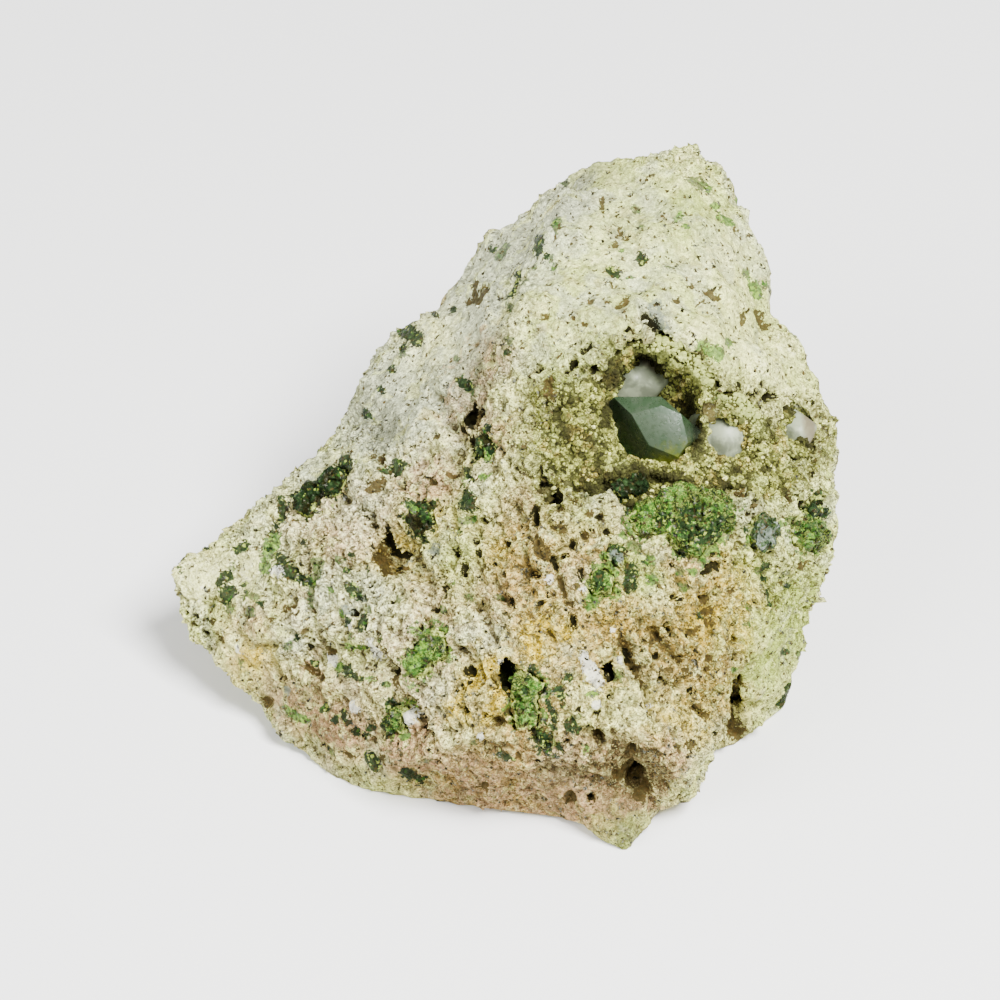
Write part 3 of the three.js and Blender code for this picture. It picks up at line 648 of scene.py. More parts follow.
class Finish:
    """A material whose nodes are added one by one."""

    def __init__(self, name):
        self.material = bpy.data.materials.new(name)
        self.material.use_nodes = True
        self.nodes = self.material.node_tree.nodes
        self.links = self.material.node_tree.links
        self.nodes.clear()
        self.output = self.nodes.new("ShaderNodeOutputMaterial")
        self.place = self.add("ShaderNodeTexCoord").outputs["Object"]

    def add(self, kind, inputs=(), **settings):
        """Adds a node, sets it, and fills its inputs with values or with other nodes' outputs."""
        node = self.nodes.new(kind)
        for key, value in settings.items():
            setattr(node, key, value)
        for key, value in dict(inputs).items():
            if isinstance(value, bpy.types.NodeSocket):
                self.links.new(value, node.inputs[key])
            else:
                node.inputs[key].default_value = value
        return node

    def noise(self, wavelength, detail=4.0, roughness=0.6, distortion=0.0):
        """Noise from 0 to 1 whose largest forms are about this many millimetres."""
        inputs = {"Vector": self.place, "Scale": 1 / (wavelength * MM), "Detail": detail,
                  "Roughness": roughness, "Distortion": distortion}
        return self.add("ShaderNodeTexNoise", inputs).outputs["Fac"]

    def cells(self, size, feature="F1", output="Distance", ragged=0.0):
        """A pattern of cells about this many millimetres across, with ragged edges where wanted."""
        place = self.place
        if ragged:
            inputs = {"Vector": place, "Scale": 1.6 / (size * MM), "Detail": 3.0}
            drift = self.add("ShaderNodeTexNoise", inputs).outputs["Color"]
            shift = self.step("SUBTRACT", {0: drift, 1: (0.5, 0.5, 0.5)})
            shift = self.step("SCALE", {0: shift, "Scale": ragged * size * MM})
            place = self.step("ADD", {0: place, 1: shift})
        inputs = {"Vector": place, "Scale": 1 / (size * MM)}
        return self.add("ShaderNodeTexVoronoi", inputs, feature=feature).outputs[output]

    def attribute(self, name):
        """One number that the mesh carries at each vertex."""
        return self.add("ShaderNodeAttribute", attribute_name=name).outputs["Fac"]

    def sum(self, kind, first, second, clamp=False):
        """A sum, product or other simple step between two numbers."""
        node = self.add("ShaderNodeMath", {0: first, 1: second}, operation=kind, use_clamp=clamp)
        return node.outputs[0]

    def step(self, kind, inputs):
        """A sum, product or other simple step between two vectors."""
        return self.add("ShaderNodeVectorMath", inputs, operation=kind).outputs[0]

    def swing(self, value, size):
        """A number from 0 to 1 turned into one around 0, with this much between its ends."""
        return self.sum("MULTIPLY", self.sum("SUBTRACT", value, 0.5), size)

    def band(self, value, low, high, start=0.0, end=1.0):
        """Carries a range of numbers over to another, smoothly."""
        inputs = {"Value": value, "From Min": low, "From Max": high, "To Min": start, "To Max": end}
        return self.add("ShaderNodeMapRange", inputs, interpolation_type="SMOOTHSTEP").outputs["Result"]

    def mix(self, factor, first, second, blend="MIX"):
        """Mixes two colours."""
        node = self.add("ShaderNodeMix", data_type="RGBA", blend_type=blend, clamp_result=True)
        for index, value in ((0, factor), (6, first), (7, second)):
            if isinstance(value, bpy.types.NodeSocket):
                self.links.new(value, node.inputs[index])
            elif index == 0:
                node.inputs[index].default_value = value
            else:
                node.inputs[index].default_value = (*value, 1)
        return node.outputs[2]

    def tint(self, colour, value, low, high, over, most=1.0):
        """Lays a colour over another, more of it as a number runs from low to high."""
        return self.mix(self.band(value, low, high, 0.0, most), colour, over)

    def cover(self, colour, share, most, over):
        """Lays a colour over another where a share says so, and at most this much of it."""
        return self.mix(self.sum("MULTIPLY", share, most), colour, over)

    def shaded(self, colour, tone):
        """A colour multiplied by a number."""
        grey = self.add("ShaderNodeCombineColor", {0: tone, 1: tone, 2: tone}).outputs[0]
        return self.mix(1.0, colour, grey, "MULTIPLY")

    def chances(self, size, ragged):
        """Three numbers from 0 to 1 that stay the same all over each ragged cell."""
        cells = self.cells(size, output="Color", ragged=ragged)
        return self.add("ShaderNodeSeparateColor", {0: cells}).outputs

    def grained(self, colour, strength, pale, dark):
        """Breaks a colour up into grains from dark to pale, their own tones with painted shade where their
        height is low, and gives back also the grains' height.
        """
        sugar = self.chances(SUGAR_CELLS, 1.4)
        crumb = self.chances(CRUMB_CELLS, 1.2)
        level = self.sum("ADD", self.swing(sugar[0], 2.0), self.swing(crumb[0], 0.8))
        for wavelength, weight in ((0.4, 4.5), (1.3, 2.7)):
            level = self.sum("ADD", level, self.swing(self.noise(wavelength, 4, 0.6, 0.4), weight))
        shade = self.sum("EXPONENT", self.sum("MULTIPLY", level, strength), 0.0)
        shade = self.sum("MINIMUM", shade, BRIGHTEST_GRAIN)
        share = self.sum("MULTIPLY", self.band(sugar[1], 0.78, 0.9), strength)
        colour = self.cover(colour, share, 0.3, pale)
        share = self.sum("MULTIPLY", self.band(crumb[1], 0.2, 0.1), strength)
        colour = self.cover(colour, share, 0.5, dark)
        return self.shaded(colour, shade), level

    def bump(self, height, depth, strength=1.0, below=None):
        """Fine relief, its depth in millimetres."""
        inputs = {"Height": height, "Distance": depth * MM, "Strength": strength}
        if below is not None:
            inputs["Normal"] = below
        return self.add("ShaderNodeBump", inputs).outputs["Normal"]

    def surface(self, inputs):
        """Ends the material in a principled shader."""
        shader = self.add("ShaderNodeBsdfPrincipled", inputs)
        self.links.new(shader.outputs[0], self.output.inputs["Surface"])
        return self.material


def stone_colour(rock, colours):
    """The rock's colour without its minerals: cream, with tinted clouds, among them painted shade and
    painted light.
    """
    colour = rock.tint(colours.cream, rock.noise(7, 5, 0.65), 0.42, 0.58, colours.pale_cream)
    streak = rock.attribute("streak")
    blotches = rock.noise(1.7, 5, 0.65, 0.4)
    for value, low, high, over, most in (
        (streak, 0.55, 0.85, colours.grey, 0.6),
        (streak, 0.42, 0.2, colours.bright_grain, 0.5),
        (blotches, 0.53, 0.64, colours.pale_cream, 0.3),
        (blotches, 0.47, 0.38, colours.tan, 0.3),
    ):
        colour = rock.tint(colour, value, low, high, over, most)
    tints = (
        ("tan", colours.tan), ("pink", colours.pink), ("peach", colours.peach), ("grey", colours.grey),
        ("pale_green", colours.pale_green), ("ochre", colours.ochre), ("olive", colours.druse_olive),
        ("pale", colours.bright_grain), ("shade", colours.shade),
    )
    for index, (name, over) in enumerate(tints):
        drift = rock.band(rock.noise(1.6 + 0.3 * index, 5, 0.65, 0.6), 0.4, 0.54, 0.45, 1.6)
        colour = rock.mix(rock.sum("MULTIPLY", rock.attribute(name), drift, True), colour, over)
    return colour


def mineral_colours(stone, colour, colours):
    """Lays the mineral patches, with ragged edges and mixed grains, over the rock's colour, and the holes
    painted near black as painted shade.
    """
    jag, pick, flip = stone.chances(FLECK_CELLS, 1.3)
    edge = stone.swing(stone.noise(0.8, 4, 0.65, 0.6), 1.8)
    edge = stone.sum("ADD", edge, stone.swing(jag, 0.7))
    speckle = stone.swing(flip, 0.6)
    layers = (
        ("mid_green", 0.8, colours.deep_green, (pick, 0.2, 0.8, colours.leaf_green),
         (flip, 0.6, 0.7, colours.moss_green), (flip, 0.2, 0.14, colours.dark_green)),
        ("bright_green", 0.88, colours.bright_green, (pick, 0.3, 0.7, colours.leaf_green),
         (flip, 0.66, 0.74, colours.lime), (flip, 0.16, 0.1, colours.dark_green)),
        ("blue_grey", 0.7, colours.blue_grey),
        ("dark_green", 0.97, colours.dark_green, (pick, 0.4, 0.9, colours.deep_green),
         (flip, 0.92, 0.97, colours.leaf_green), (flip, 0.08, 0.05, colours.pale_green)),
        ("white", 0.7, colours.white),
        ("brown", 0.93, colours.crevice, (pick, 0.5, 0.9, colours.rust)),
        ("hollow", 0.96, colours.pore),
    )
    green = 0.0
    for name, most, over, *flecks in layers:
        for value, low, high, fleck in flecks:
            over = stone.tint(over, value, low, high, fleck)
        share = stone.sum("ADD", stone.attribute(name), edge)
        if name in ("brown", "blue_grey"):
            share = stone.sum("ADD", share, speckle)
        share = stone.band(share, 0.36, 0.5)
        colour = stone.cover(colour, share, most, over)
        if name.endswith("green"):
            green = stone.sum("MAXIMUM", green, share)
    return colour, green


def rock_finish(colours):
    """Granular rock: its tinted colour broken into grains, dirt and painted shade in the crevices, and
    mineral patches.
    """
    rock = Finish("granular_rock")
    # Raised relief is painted paler, a painted highlight on its tops
    colour = rock.cover(stone_colour(rock, colours), rock.attribute("raised"), 0.22, colours.bright_grain)
    strength = rock.sum("ADD", 0.16, rock.sum("MULTIPLY", rock.attribute("rough"), 0.95))
    colour, level = rock.grained(colour, strength, colours.bright_grain, colours.crevice)
    tone = rock.band(rock.attribute("tone"), 0.0, 1.0, 0.5, 1.46)
    # The rock's colour is darkened by the clouds of painted shade
    tone = rock.sum("MULTIPLY", tone, rock.band(rock.attribute("painted_shade_dim"), 0.0, 1.0, 1.0, 0.25))
    colour = rock.shaded(colour, tone)
    # Dark brown in the crevices: dirt, and painted shade in dips, cracks, furrows, dents and under overhangs
    colour = rock.cover(colour, rock.attribute("crevice"), 0.92, colours.crevice)
    colour, green = mineral_colours(rock, colour, colours)
    return rock.surface({
        "Base Color": colour, "Normal": rock.bump(level, 0.16, 0.8),
        "Roughness": rock.band(green, 0.0, 1.0, 0.95, 0.4), "Specular IOR Level": 0.065,
    })


def druse_finish(colours):
    """Small olive-yellow crystals, each of its own tone, with painted shade where they are deep."""
    druse = Finish("olive_druse")
    tone = druse.attribute("tone")
    colour = druse.tint(colours.druse_olive, tone, 0.0, 0.75, colours.druse_yellow)
    colour = druse.tint(colour, tone, 0.8, 1.0, colours.druse_pale)
    colour = druse.tint(colour, druse.noise(4, 5, 0.65), 0.52, 0.62, colours.cream, 0.5)
    colour = druse.tint(colour, druse.noise(2.5, 5, 0.65), 0.53, 0.62, colours.tan, 0.5)
    colour, level = druse.grained(colour, 1.1, colours.druse_pale, colours.druse_dark)
    # Painted shade over the crystals that lie deep
    colour = druse.cover(colour, druse.attribute("deep"), 0.94, colours.druse_dark)
    colour = druse.cover(colour, druse.attribute("crust"), 0.7, colours.cream)
    return druse.surface({
        "Base Color": colour, "Roughness": 0.7, "Normal": druse.bump(level, 0.12, 0.8),
        "Specular IOR Level": 0.1,
    })


def demantoid_finish(colours):
    """Clear dark green garnet with satin faces and a painted yellow-green glow at its foot."""
    gem = Finish("demantoid")
    etch = gem.noise(0.4, 5, 0.65)
    colour = gem.tint(colours.gem_deep, gem.noise(2.0, 5, 0.65, 0.5), 0.44, 0.56, colours.gem_light)
    # Painted glow: a light yellow-green laid over the crystal near its foot, fading with distance from it
    low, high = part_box("demantoid_crystal")
    size = high - low
    foot = (high.x - 0.25 * size.x, low.y + 0.2 * size.y, low.z + 0.1 * size.z)
    away = gem.add("ShaderNodeVectorMath", {0: gem.place, 1: foot}, operation="DISTANCE").outputs["Value"]
    away = gem.sum("ADD", away, gem.swing(gem.noise(0.8, 4, 0.6), 3 * MM))
    colour = gem.tint(colour, away, 4.8 * MM, 2.2 * MM, colours.gem_glow)
    gem.surface({
        "Base Color": colour, "Roughness": gem.band(etch, 0.4, 0.6, 0.26, 0.44), "IOR": 1.88,
        "Transmission Weight": 0.5, "Specular IOR Level": 0.12, "Normal": gem.bump(etch, 0.06, 0.6),
        "Specular Tint": (0.3, 0.34, 0.3, 1),
    })
    absorbing = {"Color": (*colours.gem_inside, 1), "Density": 300.0}
    inside = gem.add("ShaderNodeVolumeAbsorption", absorbing)
    gem.links.new(inside.outputs[0], gem.output.inputs["Volume"])
    return gem.material


def milky_finish(colours):
    """Clouded white crystal, darker where its hole shades it."""
    milky = Finish("milky_crystal")
    veil = milky.noise(1.6, 5, 0.6, 0.4)
    colour = milky.tint(colours.milky_grey, veil, 0.42, 0.58, colours.milky_white)
    colour = milky.cover(colour, milky.attribute("deep"), 0.7, colours.shade)
    return milky.surface({
        "Base Color": colour, "Roughness": 0.5, "IOR": 1.55, "Transmission Weight": 0.3,
        "Normal": milky.bump(milky.noise(0.5, 4, 0.6), 0.08, 0.6),
    })


def garnet_finish(name, colours, light, middle, dark, share_of_rock):
    """Cracked garnet grains: blocks of several greens, grown through with the rock."""
    garnet = Finish(name)
    cloud = garnet.noise(1.4, 5, 0.65, 0.8)
    fibre = garnet.noise(0.8, 4, 0.6, 2.5)
    block = garnet.sum("ADD", garnet.attribute("tone"), garnet.swing(cloud, 2.5))
    colour = garnet.tint(dark, block, 0.3, 0.55, middle)
    colour = garnet.tint(colour, block, 0.8, 1.0, light)
    vein = garnet.sum("ABSOLUTE", garnet.sum("SUBTRACT", fibre, 0.5), 0.0)
    colour = garnet.tint(colour, vein, 0.034, 0.010, colours.pale_green, 3 * share_of_rock)
    grown = garnet.sum("ADD", garnet.attribute("rim"), garnet.swing(cloud, 3))
    grown = garnet.band(grown, 0.78 - share_of_rock, 0.9 - share_of_rock)
    colour = garnet.mix(grown, colour, garnet.mix(0.4, colours.cream, colours.pale_green))
    colour, level = garnet.grained(colour, 0.8, light, colours.dark_green)
    colour, _ = mineral_colours(garnet, colour, colours)
    colour = garnet.cover(colour, garnet.attribute("crevice"), 0.9, colours.pore)
    normal = garnet.bump(level, 0.1, 0.7, garnet.bump(cloud, 0.3, 0.6))
    return garnet.surface({
        "Base Color": colour, "Roughness": garnet.band(grown, 0.0, 1.0, 0.32, 0.9), "IOR": 1.6,
        "Specular IOR Level": 0.06, "Specular Tint": (0.4, 0.48, 0.36, 1), "Normal": normal,
    })


# Settings


def colour_of(name, value, description):
    """A colour that a user may change."""
    return FloatVectorProperty(name=name, description=description, default=value, size=3, min=0, max=1,
                               subtype="COLOR")


def length_of(name, value, description):
    """A length that a user may change, in metres."""
    return FloatProperty(name=name, description=description, default=value * MM, unit="LENGTH",
                         precision=5)


def count_of(name, value, description):
    """A number of things that a user may change."""
    return IntProperty(name=name, description=description, default=value, min=0)


def power_of(name, value, description):
    """The power of a light that a user may change, in watts."""
    return FloatProperty(name=name, description=description, default=value, unit="POWER")


class GARNET_PG_colours(PropertyGroup):
    """Colours of the rock and its minerals."""

    cream: colour_of("Cream", (0.50, 0.56, 0.155), "Main colour of the rock")
    pale_cream: colour_of("Pale cream", (0.68, 0.75, 0.25), "Paler clouds of the rock")
    bright_grain: colour_of("Bright grain", (0.84, 0.85, 0.33), "Small pale grains")
    tan: colour_of("Tan", (0.34, 0.22, 0.045), "Weathered tan zones")
    peach: colour_of("Peach", (0.76, 0.60, 0.31), "Pale peach zones")
    pink: colour_of("Pink", (0.42, 0.25, 0.12), "Pink-brown zones")
    grey: colour_of("Grey", (0.50, 0.53, 0.34), "Grey zones")
    pale_green: colour_of("Pale green", (0.32, 0.39, 0.07), "Pale green zones")
    ochre: colour_of("Ochre", (0.50, 0.34, 0.012), "Ochre stains")
    # Shade is painted shade, laid under the rock's overhangs and over the milky crystals in their hole
    shade: colour_of("Shade", (0.13, 0.085, 0.032), "Dirt under overhangs")
    bright_green: colour_of("Bright green", (0.085, 0.18, 0.03), "Bright green garnet")
    leaf_green: colour_of("Leaf green", (0.03, 0.095, 0.012), "Deeper bright garnet")
    dark_green: colour_of("Dark green", (0.007, 0.016, 0.005), "Dark garnet")
    deep_green: colour_of("Deep green", (0.022, 0.044, 0.014), "Lighter flecks of dark garnet")
    blue_grey: colour_of("Blue grey", (0.15, 0.185, 0.15), "Clouded blue-grey grains")
    moss_green: colour_of("Moss green", (0.12, 0.155, 0.04), "Grey-green grown through the rock")
    lime: colour_of("Lime", (0.18, 0.33, 0.03), "Palest green grains")
    rust: colour_of("Rust", (0.075, 0.047, 0.012), "Rusty grains in pits")
    white: colour_of("White", (0.88, 0.88, 0.74), "White grains")
    # Pore is the painted shade inside holes and cracks, and the darkest garnet
    pore: colour_of("Pore", (0.010, 0.009, 0.002), "Inside holes and cracks")
    # Crevice is the colour of the dirt and painted shade in the crevices, and also of dark crumbs and brown
    # patches
    crevice: colour_of("Crevice", (0.055, 0.04, 0.011), "Dirt in crevices")
    druse_olive: colour_of("Druse olive", (0.145, 0.155, 0.028), "Olive druse")
    druse_yellow: colour_of("Druse yellow", (0.31, 0.325, 0.07), "Yellow druse")
    druse_pale: colour_of("Druse pale", (0.70, 0.70, 0.24), "Palest druse grains")
    # Druse dark is the painted shade between and under the druse's crystals, and the colour of its dark
    # grains
    druse_dark: colour_of("Druse dark", (0.018, 0.017, 0.004), "Between the druse's crystals")
    gem_deep: colour_of("Gem deep", (0.034, 0.066, 0.028), "Dark part of the main crystal")
    gem_light: colour_of("Gem light", (0.055, 0.082, 0.045), "Light part of the main crystal")
    # Gem glow is the painted glow at the main crystal's foot
    gem_glow: colour_of("Gem glow", (0.19, 0.22, 0.015), "Yellow-green foot of the main crystal")
    gem_inside: colour_of("Gem inside", (0.25, 0.60, 0.12), "What the main crystal lets through")
    milky_white: colour_of("Milky white", (0.37, 0.42, 0.27), "Milky crystals")
    milky_grey: colour_of("Milky grey", (0.22, 0.25, 0.16), "Grey clouds in the milky crystals")


class GARNET_PG_sizes(PropertyGroup):
    """Sizes of the relief and the grains."""

    voxel: length_of("Voxel", 0.53, "Mesh width of the rock before its front is divided")
    kept_triangles: count_of("Kept triangles", 194000, "Triangles that the rock keeps")
    broad_height: length_of("Broad height", 0.9, "Height of the rock's broad swells and folds")
    lump_height: length_of("Lump height", 0.6, "Height of the rock's lumps")
    rib_height: length_of("Rib height", 0.9, "Height of the drawn-out ribs and furrows")
    crumb_height: length_of("Crumb height", 0.35, "Height of the crumbly relief")
    grit_height: length_of("Grit height", 0.3, "Height of the finest relief in the mesh")
    crumb_size: length_of("Crumb size", 0.155, "Mean radius of the crumbs")
    crumbs: count_of("Crumbs", 22000, "Crumbs on the rock")
    sugar_size: length_of("Sugar size", 0.085, "Mean radius of the finest grains")
    sugar: count_of("Sugar grains", 22000, "Finest grains on the rock")
    rim_size: length_of("Rim size", 0.27, "Mean radius of the grains around the vug")
    rim_grains: count_of("Rim grains", 7500, "Grains around the vug")
    druse_size: length_of("Druse size", 0.24, "Mean radius of the druse's crystals")
    druse_spacing: length_of("Druse spacing", 0.3, "Distance between the druse's crystals")
    druse_points: count_of("Druse points", 50000, "Places tried for crystals")
    pores: count_of("Pores", 260, "Small holes by chance in the rock")


class GARNET_PG_stage(PropertyGroup):
    """Floor and light."""

    floor_colour: colour_of("Floor", (0.8, 0.8, 0.79), "Colour of the floor")
    key_power: power_of("Key light", 22.0, "Power of the key light")
    fill_power: power_of("Fill light", 8.0, "Power of the fill light")
    sky: FloatProperty(name="Sky", description="Strength of the light from all round", default=0.6, min=0)


# Pieces


def dress(piece, finish, slot, *nodes):
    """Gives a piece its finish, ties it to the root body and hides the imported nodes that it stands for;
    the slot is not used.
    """
    piece.data.materials.append(finish)
    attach(piece, "root")
    if nodes:
        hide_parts(*nodes)


def near_nodes(points, names, reach):
    """1 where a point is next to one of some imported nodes, falling to 0 at some reach."""
    near = np.zeros(len(points))
    for name in names:
        low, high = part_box(name)
        inside = np.all((points > np.array(low) - reach) & (points < np.array(high) + reach), axis=1)
        tree = surface_tree(frame["nodes"][name])
        for index in np.flatnonzero(inside):
            found = tree.find_nearest(Vector(points[index]), reach)
            if found[0] is not None:
                near[index] = max(near[index], 1 - found[3] / reach)
    return near


def garnet_nodes():
    """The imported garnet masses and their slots."""
    slots = {row["node"]: row["material_slot"] for row in frame["record"]["subparts"]}
    return {node: slot for node, slot in slots.items() if node.startswith("garnet_")}


def picture_forms(seen, forms):
    """Heights of lumps or gullies at each pixel."""
    heights = np.zeros(len(seen))
    for radius, height, *run in forms:
        away = distance_to_line(seen, run) / (1.25 * radius)
        heights = np.maximum(heights, height * MM * np.clip(1 - away * away, 0, 1))
    return heights


def dents_under(mineral, depth):
    """Dents in the place of a mineral's patches, the deeper the wider they are."""
    patches = MINERALS[mineral].items()
    return [(radius + 1, depth * radius, *run) for radius, runs in patches for run in runs]


def tints_and_minerals(points, normals, seen):
    """How much of each tint and mineral each point has, from the picture in front and by chance behind."""
    front = smoothstep(toward_eye(normals), -0.25, 0.1)
    shares = {}
    for index, (name, clouds) in enumerate(TINTS.items()):
        behind = 0.6 * smoothstep(fractal(points, 14, 3, 5.0 + 3 * index), 0.05, 0.6)
        if name in ("olive", "shade", "painted_shade_dim"):
            behind = behind * 0
        shares[name] = cloud_share(seen, clouds) * front + 0.8 * behind * (1 - front)
    for index, (name, patches) in enumerate(MINERALS.items()):
        behind = smoothstep(fractal(points, 3.2, 4, 31.0 + 7 * index), 0.52, 0.68)
        if name in ("white", "hollow"):
            behind = 0.45 * behind
        shares[name] = patch_share(seen, patches) * front + behind * (1 - front)
    return shares


def divide_front(rock):
    """Divides the faces that the picture shows, so that they take finer relief."""
    chosen = (toward_eye(normals_of(rock)) > -0.12) & (corners_of(rock)[:, 2] > 0.4 * MM)
    flags = [all(chosen[i] for i in polygon.vertices) for polygon in rock.data.polygons]
    activate(rock)
    bpy.ops.object.mode_set(mode="EDIT")
    bpy.ops.mesh.select_mode(type="FACE")
    bpy.ops.object.mode_set(mode="OBJECT")
    rock.data.polygons.foreach_set("select", flags)
    bpy.ops.object.mode_set(mode="EDIT")
    bpy.ops.mesh.subdivide(number_cuts=1)
    bpy.ops.object.mode_set(mode="OBJECT")


def broken_relief(places, along, normals, front, rough, sizes):
    """The height of the broken faces at each point, and their ribs and cracks."""
    coarse, coarse_edge, _ = granules(places, 2.6, 9.0)
    fine, fine_edge, _ = granules(places, 0.9, 17.0)
    uneven = smoothstep(fractal(places, 4, 2, 50.0), -0.3, 0.4)
    inside = smoothstep(toward_eye(normals), 0.05, 0.5) * front + 0.6 * (1 - front)
    folds = 0.4 - np.abs(fractal(places, 6, 3, 95.0))
    height = sizes.broad_height * (fractal(places, 9, 3, 91.0) + folds) * inside * (0.35 + 0.65 * rough)
    height += sizes.lump_height * fractal(places, 4.2, 3, 2.0)
    ribs = 0.35 - np.abs(fractal(along, 2.6, 4, 99.0))
    height += sizes.rib_height * ribs * (0.3 + 0.7 * rough)
    height += sizes.crumb_height * (coarse - 0.4) * rough * (0.2 + uneven)
    height += 0.5 * sizes.grit_height * (fine - 0.4) * rough * (1.5 - uneven)
    height += 1.6 * sizes.grit_height * fractal(along, 0.9, 5, 81.0) * (0.2 + 0.8 * rough)
    creases = 1 - smoothstep(coarse_edge, 0.0, 0.16)
    creases = creases * smoothstep(fractal(places, 3, 2, 60.0), -0.05, 0.3)
    creases = np.maximum(creases, 0.3 * (1 - smoothstep(fine_edge, 0.0, 0.14)))
    height -= 0.35 * MM * creases * rough
    cracks = 1 - smoothstep(np.abs(fractal(places, 5.5, 5, 23.0)), 0.0, 0.06)
    cracks *= smoothstep(fractal(places, 6, 2, 70.0), -0.1, 0.25)
    height -= 0.8 * MM * cracks * rough
    return height, ribs, cracks


def chance_pores(places, chance, count, random):
    """1 in small holes that are drawn by chance, 0 outside them."""
    pores = np.zeros(len(places))
    for index in random.choice(len(places), count, replace=False, p=chance / chance.sum()):
        radius = random.uniform(0.14, 0.42) * MM
        away = np.linalg.norm((places - places[index]) * random.uniform(0.6, 1.5, 3), axis=1) / radius
        pores = np.maximum(pores, 1 - smoothstep(away, 0.4, 1.3))
    return pores


def crevice_share(relief, wide_relief, shut, cracks, ribs, dents, rough):
    """How much dirt and painted shade lie at each point: in dips, under overhangs, in cracks, furrows and
    dents.
    """
    crevice = 0.6 * smoothstep(-relief, 0.03 * MM, 0.17 * MM)
    crevice = crevice + 0.5 * smoothstep(-wide_relief, 0.15 * MM, 0.8 * MM)
    crevice = crevice * (0.35 + 0.65 * rough) + 0.9 * smoothstep(shut, 0.3, 0.75)
    crevice = np.maximum(crevice, 0.9 * cracks * rough)
    furrows = smoothstep(-ribs, 0.02, 0.3) * smoothstep(-relief, -0.05 * MM, 0.06 * MM)
    crevice = np.maximum(crevice, 0.75 * furrows * rough)
    return np.clip(np.maximum(crevice, smoothstep(dents, 0.4 * MM, 1.3 * MM)), 0, 1)


def rock_piece(sizes):
    """The broken rock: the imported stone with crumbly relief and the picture's dents, lumps and patches."""
    random = np.random.default_rng(ROCK_SEED)
    rock = copy_of("matrix_stone", "broken_rock")
    apply_modifier(rock, "REMESH", mode="VOXEL", voxel_size=sizes.voxel)
    apply_modifier(rock, "SMOOTH", factor=0.5, iterations=3)
    divide_front(rock)

    places = corners_of(rock)
    normals = normals_of(rock)
    seen = in_picture(places)
    along = places - 0.65 * (places @ GRAIN)[:, None] * GRAIN
    garnets = garnet_nodes()
    standing = smoothstep(places[:, 2], 0.2 * MM, 1.6 * MM)
    free = (1 - 0.6 * near_nodes(places, garnets, 0.8 * MM)) * standing
    front = smoothstep(toward_eye(normals), -0.25, 0.1)
    calm = cloud_share(seen, CALM_FACES) * front
    calm = calm + smoothstep(fractal(places, 11, 2, 77.0), -0.1, 0.4) * (1 - front)
    rough = 1 - 0.8 * np.clip(calm, 0, 1)
    height, ribs, cracks = broken_relief(places, along, normals, front, rough, sizes)

    chance = np.maximum((rough - 0.35) * (0.3 + 0.7 * front), 0) ** 2 * (places[:, 2] > 2 * MM)
    pores = chance_pores(places, chance, sizes.pores, random)
    facing = smoothstep(toward_eye(normals), 0.0, 0.3)
    holes = picture_forms(seen, dents_under("hollow", 0.32))
    pits = picture_forms(seen, dents_under("brown", 0.12))
    dents = (holes + pits) * facing
    gullies = picture_forms(seen, GULLIES) * facing
    raised = (picture_forms(seen, LUMPS) + picture_forms(seen, EDGES)) * facing
    lip = near_nodes(places, ["vug_druse"], 2.5 * MM)
    height += 1.5 * MM * np.sqrt(lip) * (fractal(places, 2.6, 3, 66.0) - 0.1)
    height = height * free + (raised - dents - gullies - 0.6 * MM * pores * free) * standing
    moved = places + normals * height[:, None]
    moved[:, 2] = np.maximum(moved[:, 2], np.minimum(places[:, 2], FLOOR_GAP))
    move_corners(rock, moved)

    relief = height - smoothed(rock, height, 4)
    wide_relief = height - smoothed(rock, height, 160)
    # How shut in each point is, which gives the painted shade in the crevices
    shut = sheltered(moved, normals_of(rock), surface_tree(rock), 3 * MM, 9, random)
    shut = smoothed(rock, shut, 1)
    shares = tints_and_minerals(places, normals, seen)
    for mineral, slot in (("bright_green", "green_garnet"), ("dark_green", "dark_garnet")):
        halo = near_nodes(places, [name for name in garnets if garnets[name] == slot], 1.5 * MM)
        halo *= 0.3 + 1.2 * smoothstep(fractal(places, 1.3, 3, 88.0), -0.2, 0.4)
        shares[mineral] = np.clip(np.maximum(shares[mineral], halo), 0, 1)
    shares["crevice"] = crevice_share(relief, wide_relief, shut, cracks, ribs, dents, rough)
    # How much each point stands up from its surroundings, for the painted highlight
    shares["raised"] = smoothstep(relief, 0.02 * MM, 0.14 * MM) * (0.4 + 0.6 * rough)
    # Pores drawn by chance are painted near black as painted shade, like the listed holes
    shares["hollow"] = np.maximum(shares["hollow"], 0.9 * pores)
    shares["rough"] = rough
    shares["streak"] = np.clip(0.5 + 0.9 * fractal(along, 3.2, 4, 45.0), 0, 1)
    shares["tone"] = np.clip(random.normal(0.5, 0.13 + 0.09 * rough), 0, 1)
    for name, values in shares.items():
        give_attribute(rock, name, values)
    apply_modifier(rock, "DECIMATE", ratio=sizes.kept_triangles / len(triangles_of(rock)))
    return rock


def sugar_shape():
    """Corners and triangles of a double pyramid, the smallest grain."""
    corners = np.array([(1, 0, 0), (0, 1, 0), (-1, 0, 0), (0, -1, 0), (0, 0, 1), (0, 0, -1)], dtype=float)
    triangles = [(k, (k + 1) % 4, 4) for k in range(4)] + [((k + 1) % 4, k, 5) for k in range(4)]
    return corners, np.array(triangles)


